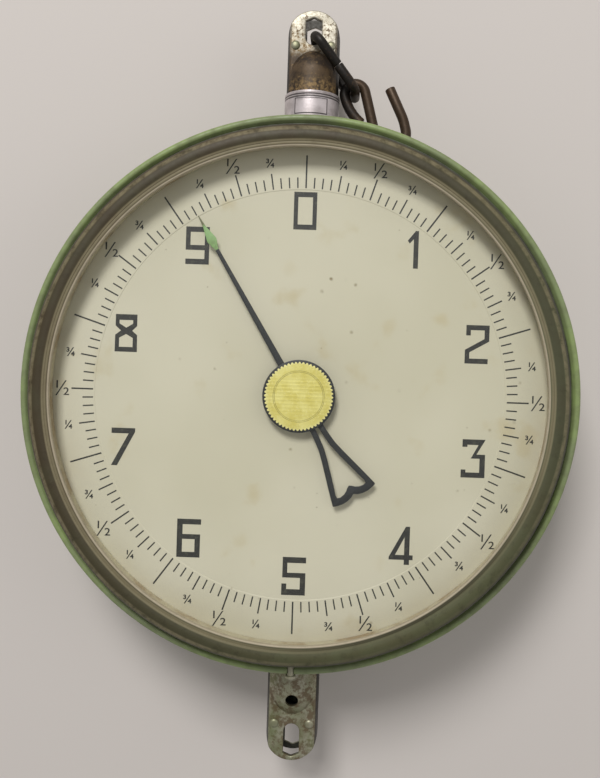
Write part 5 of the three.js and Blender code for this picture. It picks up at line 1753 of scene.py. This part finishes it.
@dataclass
class Studio:
    """The camera at the photograph's place, a pale backdrop and soft light."""

    camera_place: tuple[float, float, float] = (0.02991, -0.55921, -0.21786)
    camera_forward: tuple[float, float, float] = (-0.010936, 0.999833, -0.014639)
    camera_up: tuple[float, float, float] = (-0.033084, 0.014270, 0.999351)
    focal: float = 821.8
    shift: Point = (39.0, -30.8)
    image: tuple[int, int] = (600, 778)
    backdrop_y: float = 0.0486
    backdrop: Colour = tone(208, 201, 195)
    sky: float = 0.36

    def camera(self) -> None:
        """Makes the scene's camera."""
        data = bpy.data.cameras.new("camera")
        long_side = max(self.image)
        data.sensor_width = 36.0
        data.lens = 36.0 * self.focal / long_side
        data.shift_x = -self.shift[0] / long_side
        data.shift_y = self.shift[1] / long_side
        data.clip_start = 0.02
        data.clip_end = 50.0
        made = bpy.data.objects.new("camera", data)
        bpy.context.scene.collection.objects.link(made)
        ahead, top = Vector(self.camera_forward), Vector(self.camera_up)
        side = ahead.cross(top).normalized()
        turn = Matrix((side, side.cross(ahead), -ahead)).transposed().to_4x4()
        made.matrix_world = Matrix.Translation(self.camera_place) @ turn
        bpy.context.scene.camera = made

    def floor(self) -> None:
        """The pale ground that the scale lies on, solid only where its front is seen."""
        shape = bmesh.new()
        flat = Matrix.Rotation(math.pi / 2, 4, "X")
        place = Matrix.Translation((0, self.backdrop_y, DIAL_CENTRE.z)) @ flat
        bmesh.ops.create_grid(shape, x_segments=2, y_segments=2, size=4.0, matrix=place)
        mesh = bpy.data.meshes.new("ground")
        shape.to_mesh(mesh)
        shape.free()
        ground = bpy.data.objects.new("ground", mesh)
        bpy.context.scene.collection.objects.link(ground)
        paint = Paint("ground")
        paint.feed(Base_Color=self.backdrop, Roughness=0.9)
        paint.shader.inputs["Specular IOR Level"].default_value = 0.1
        path = paint.node("ShaderNodeLightPath", {}, {}).socket.node.outputs
        seen = Value(paint, path["Is Camera Ray"]) + Value(paint, path["Is Glossy Ray"])
        seen = seen + Value(paint, path["Is Transmission Ray"])
        behind = Value(paint, paint.node("ShaderNodeNewGeometry", {}, {}).socket.node.outputs["Backfacing"])
        share = seen.sum("MINIMUM", 1.0) * (1 - behind)
        clear = paint.node("ShaderNodeBsdfTransparent", {}, {})
        solid = Value(paint, paint.shader.outputs[0])
        blend = paint.node("ShaderNodeMixShader", {}, {0: share, 1: clear, 2: solid})
        paint.tree.links.new(blend.socket, paint.out.inputs[0])
        mesh.materials.append(paint.material)

    def world(self) -> None:
        """Even light from all round, seen by the camera as a pale grey."""
        world = bpy.data.worlds.new("studio")
        world.use_nodes = True
        tree = world.node_tree
        tree.nodes.clear()
        out = tree.nodes.new("ShaderNodeOutputWorld")
        light = tree.nodes.new("ShaderNodeBackground")
        light.inputs[0].default_value = (1.0, 0.99, 0.99, 1.0)
        light.inputs[1].default_value = self.sky
        shown = tree.nodes.new("ShaderNodeBackground")
        shown.inputs[0].default_value = self.backdrop
        shown.inputs[1].default_value = 1.0
        path = tree.nodes.new("ShaderNodeLightPath")
        blend = tree.nodes.new("ShaderNodeMixShader")
        tree.links.new(path.outputs["Is Camera Ray"], blend.inputs[0])
        tree.links.new(light.outputs[0], blend.inputs[1])
        tree.links.new(shown.outputs[0], blend.inputs[2])
        tree.links.new(blend.outputs[0], out.inputs[0])
        bpy.context.scene.world = world

    def lamp(self, name: str, place: Point, height: float, size: float, power: float) -> None:
        """A square soft lamp in front of the dial, aimed at it.

        Args:
            name: The lamp's name.
            place: Its x and z, from the dial's centre.
            height: How far in front of the dial it hangs.
            size: Its side.
            power: Watts.
        """
        data = bpy.data.lights.new(name, "AREA")
        data.shape = "SQUARE"
        data.size = size
        data.energy = power
        lamp = bpy.data.objects.new(name, data)
        bpy.context.scene.collection.objects.link(lamp)
        spot = DIAL_CENTRE + Vector((place[0], -height, place[1]))
        lamp.location = spot
        lamp.rotation_euler = (DIAL_CENTRE - spot).to_track_quat("-Z", "Y").to_euler()

    def build(self) -> None:
        """Sets the whole stage."""
        self.camera()
        self.floor()
        self.world()
        self.lamp("window", (-0.45, 1.6), 2.1, 0.8, 49.0)
        self.lamp("side", (1.5, 0.2), 1.3, 0.9, 2.5)
        bpy.context.scene.view_settings.view_transform = "Standard"


def main() -> None:
    """Builds the stage and every sub-assembly."""
    logging.basicConfig(level=logging.INFO, format="%(message)s")
    Studio().build()
    shop = PaintShop()
    assemblies: list[Callable[[PaintShop], None]] = [
        Case().build,
        Bezel().build,
        Dial().build,
        Pointer().build,
        Tubes().build,
        Hanger().build,
        Works().build,
    ]
    for build in assemblies:
        build(shop)
    bpy.context.view_layer.update()


if __name__ == "__main__":
    main()
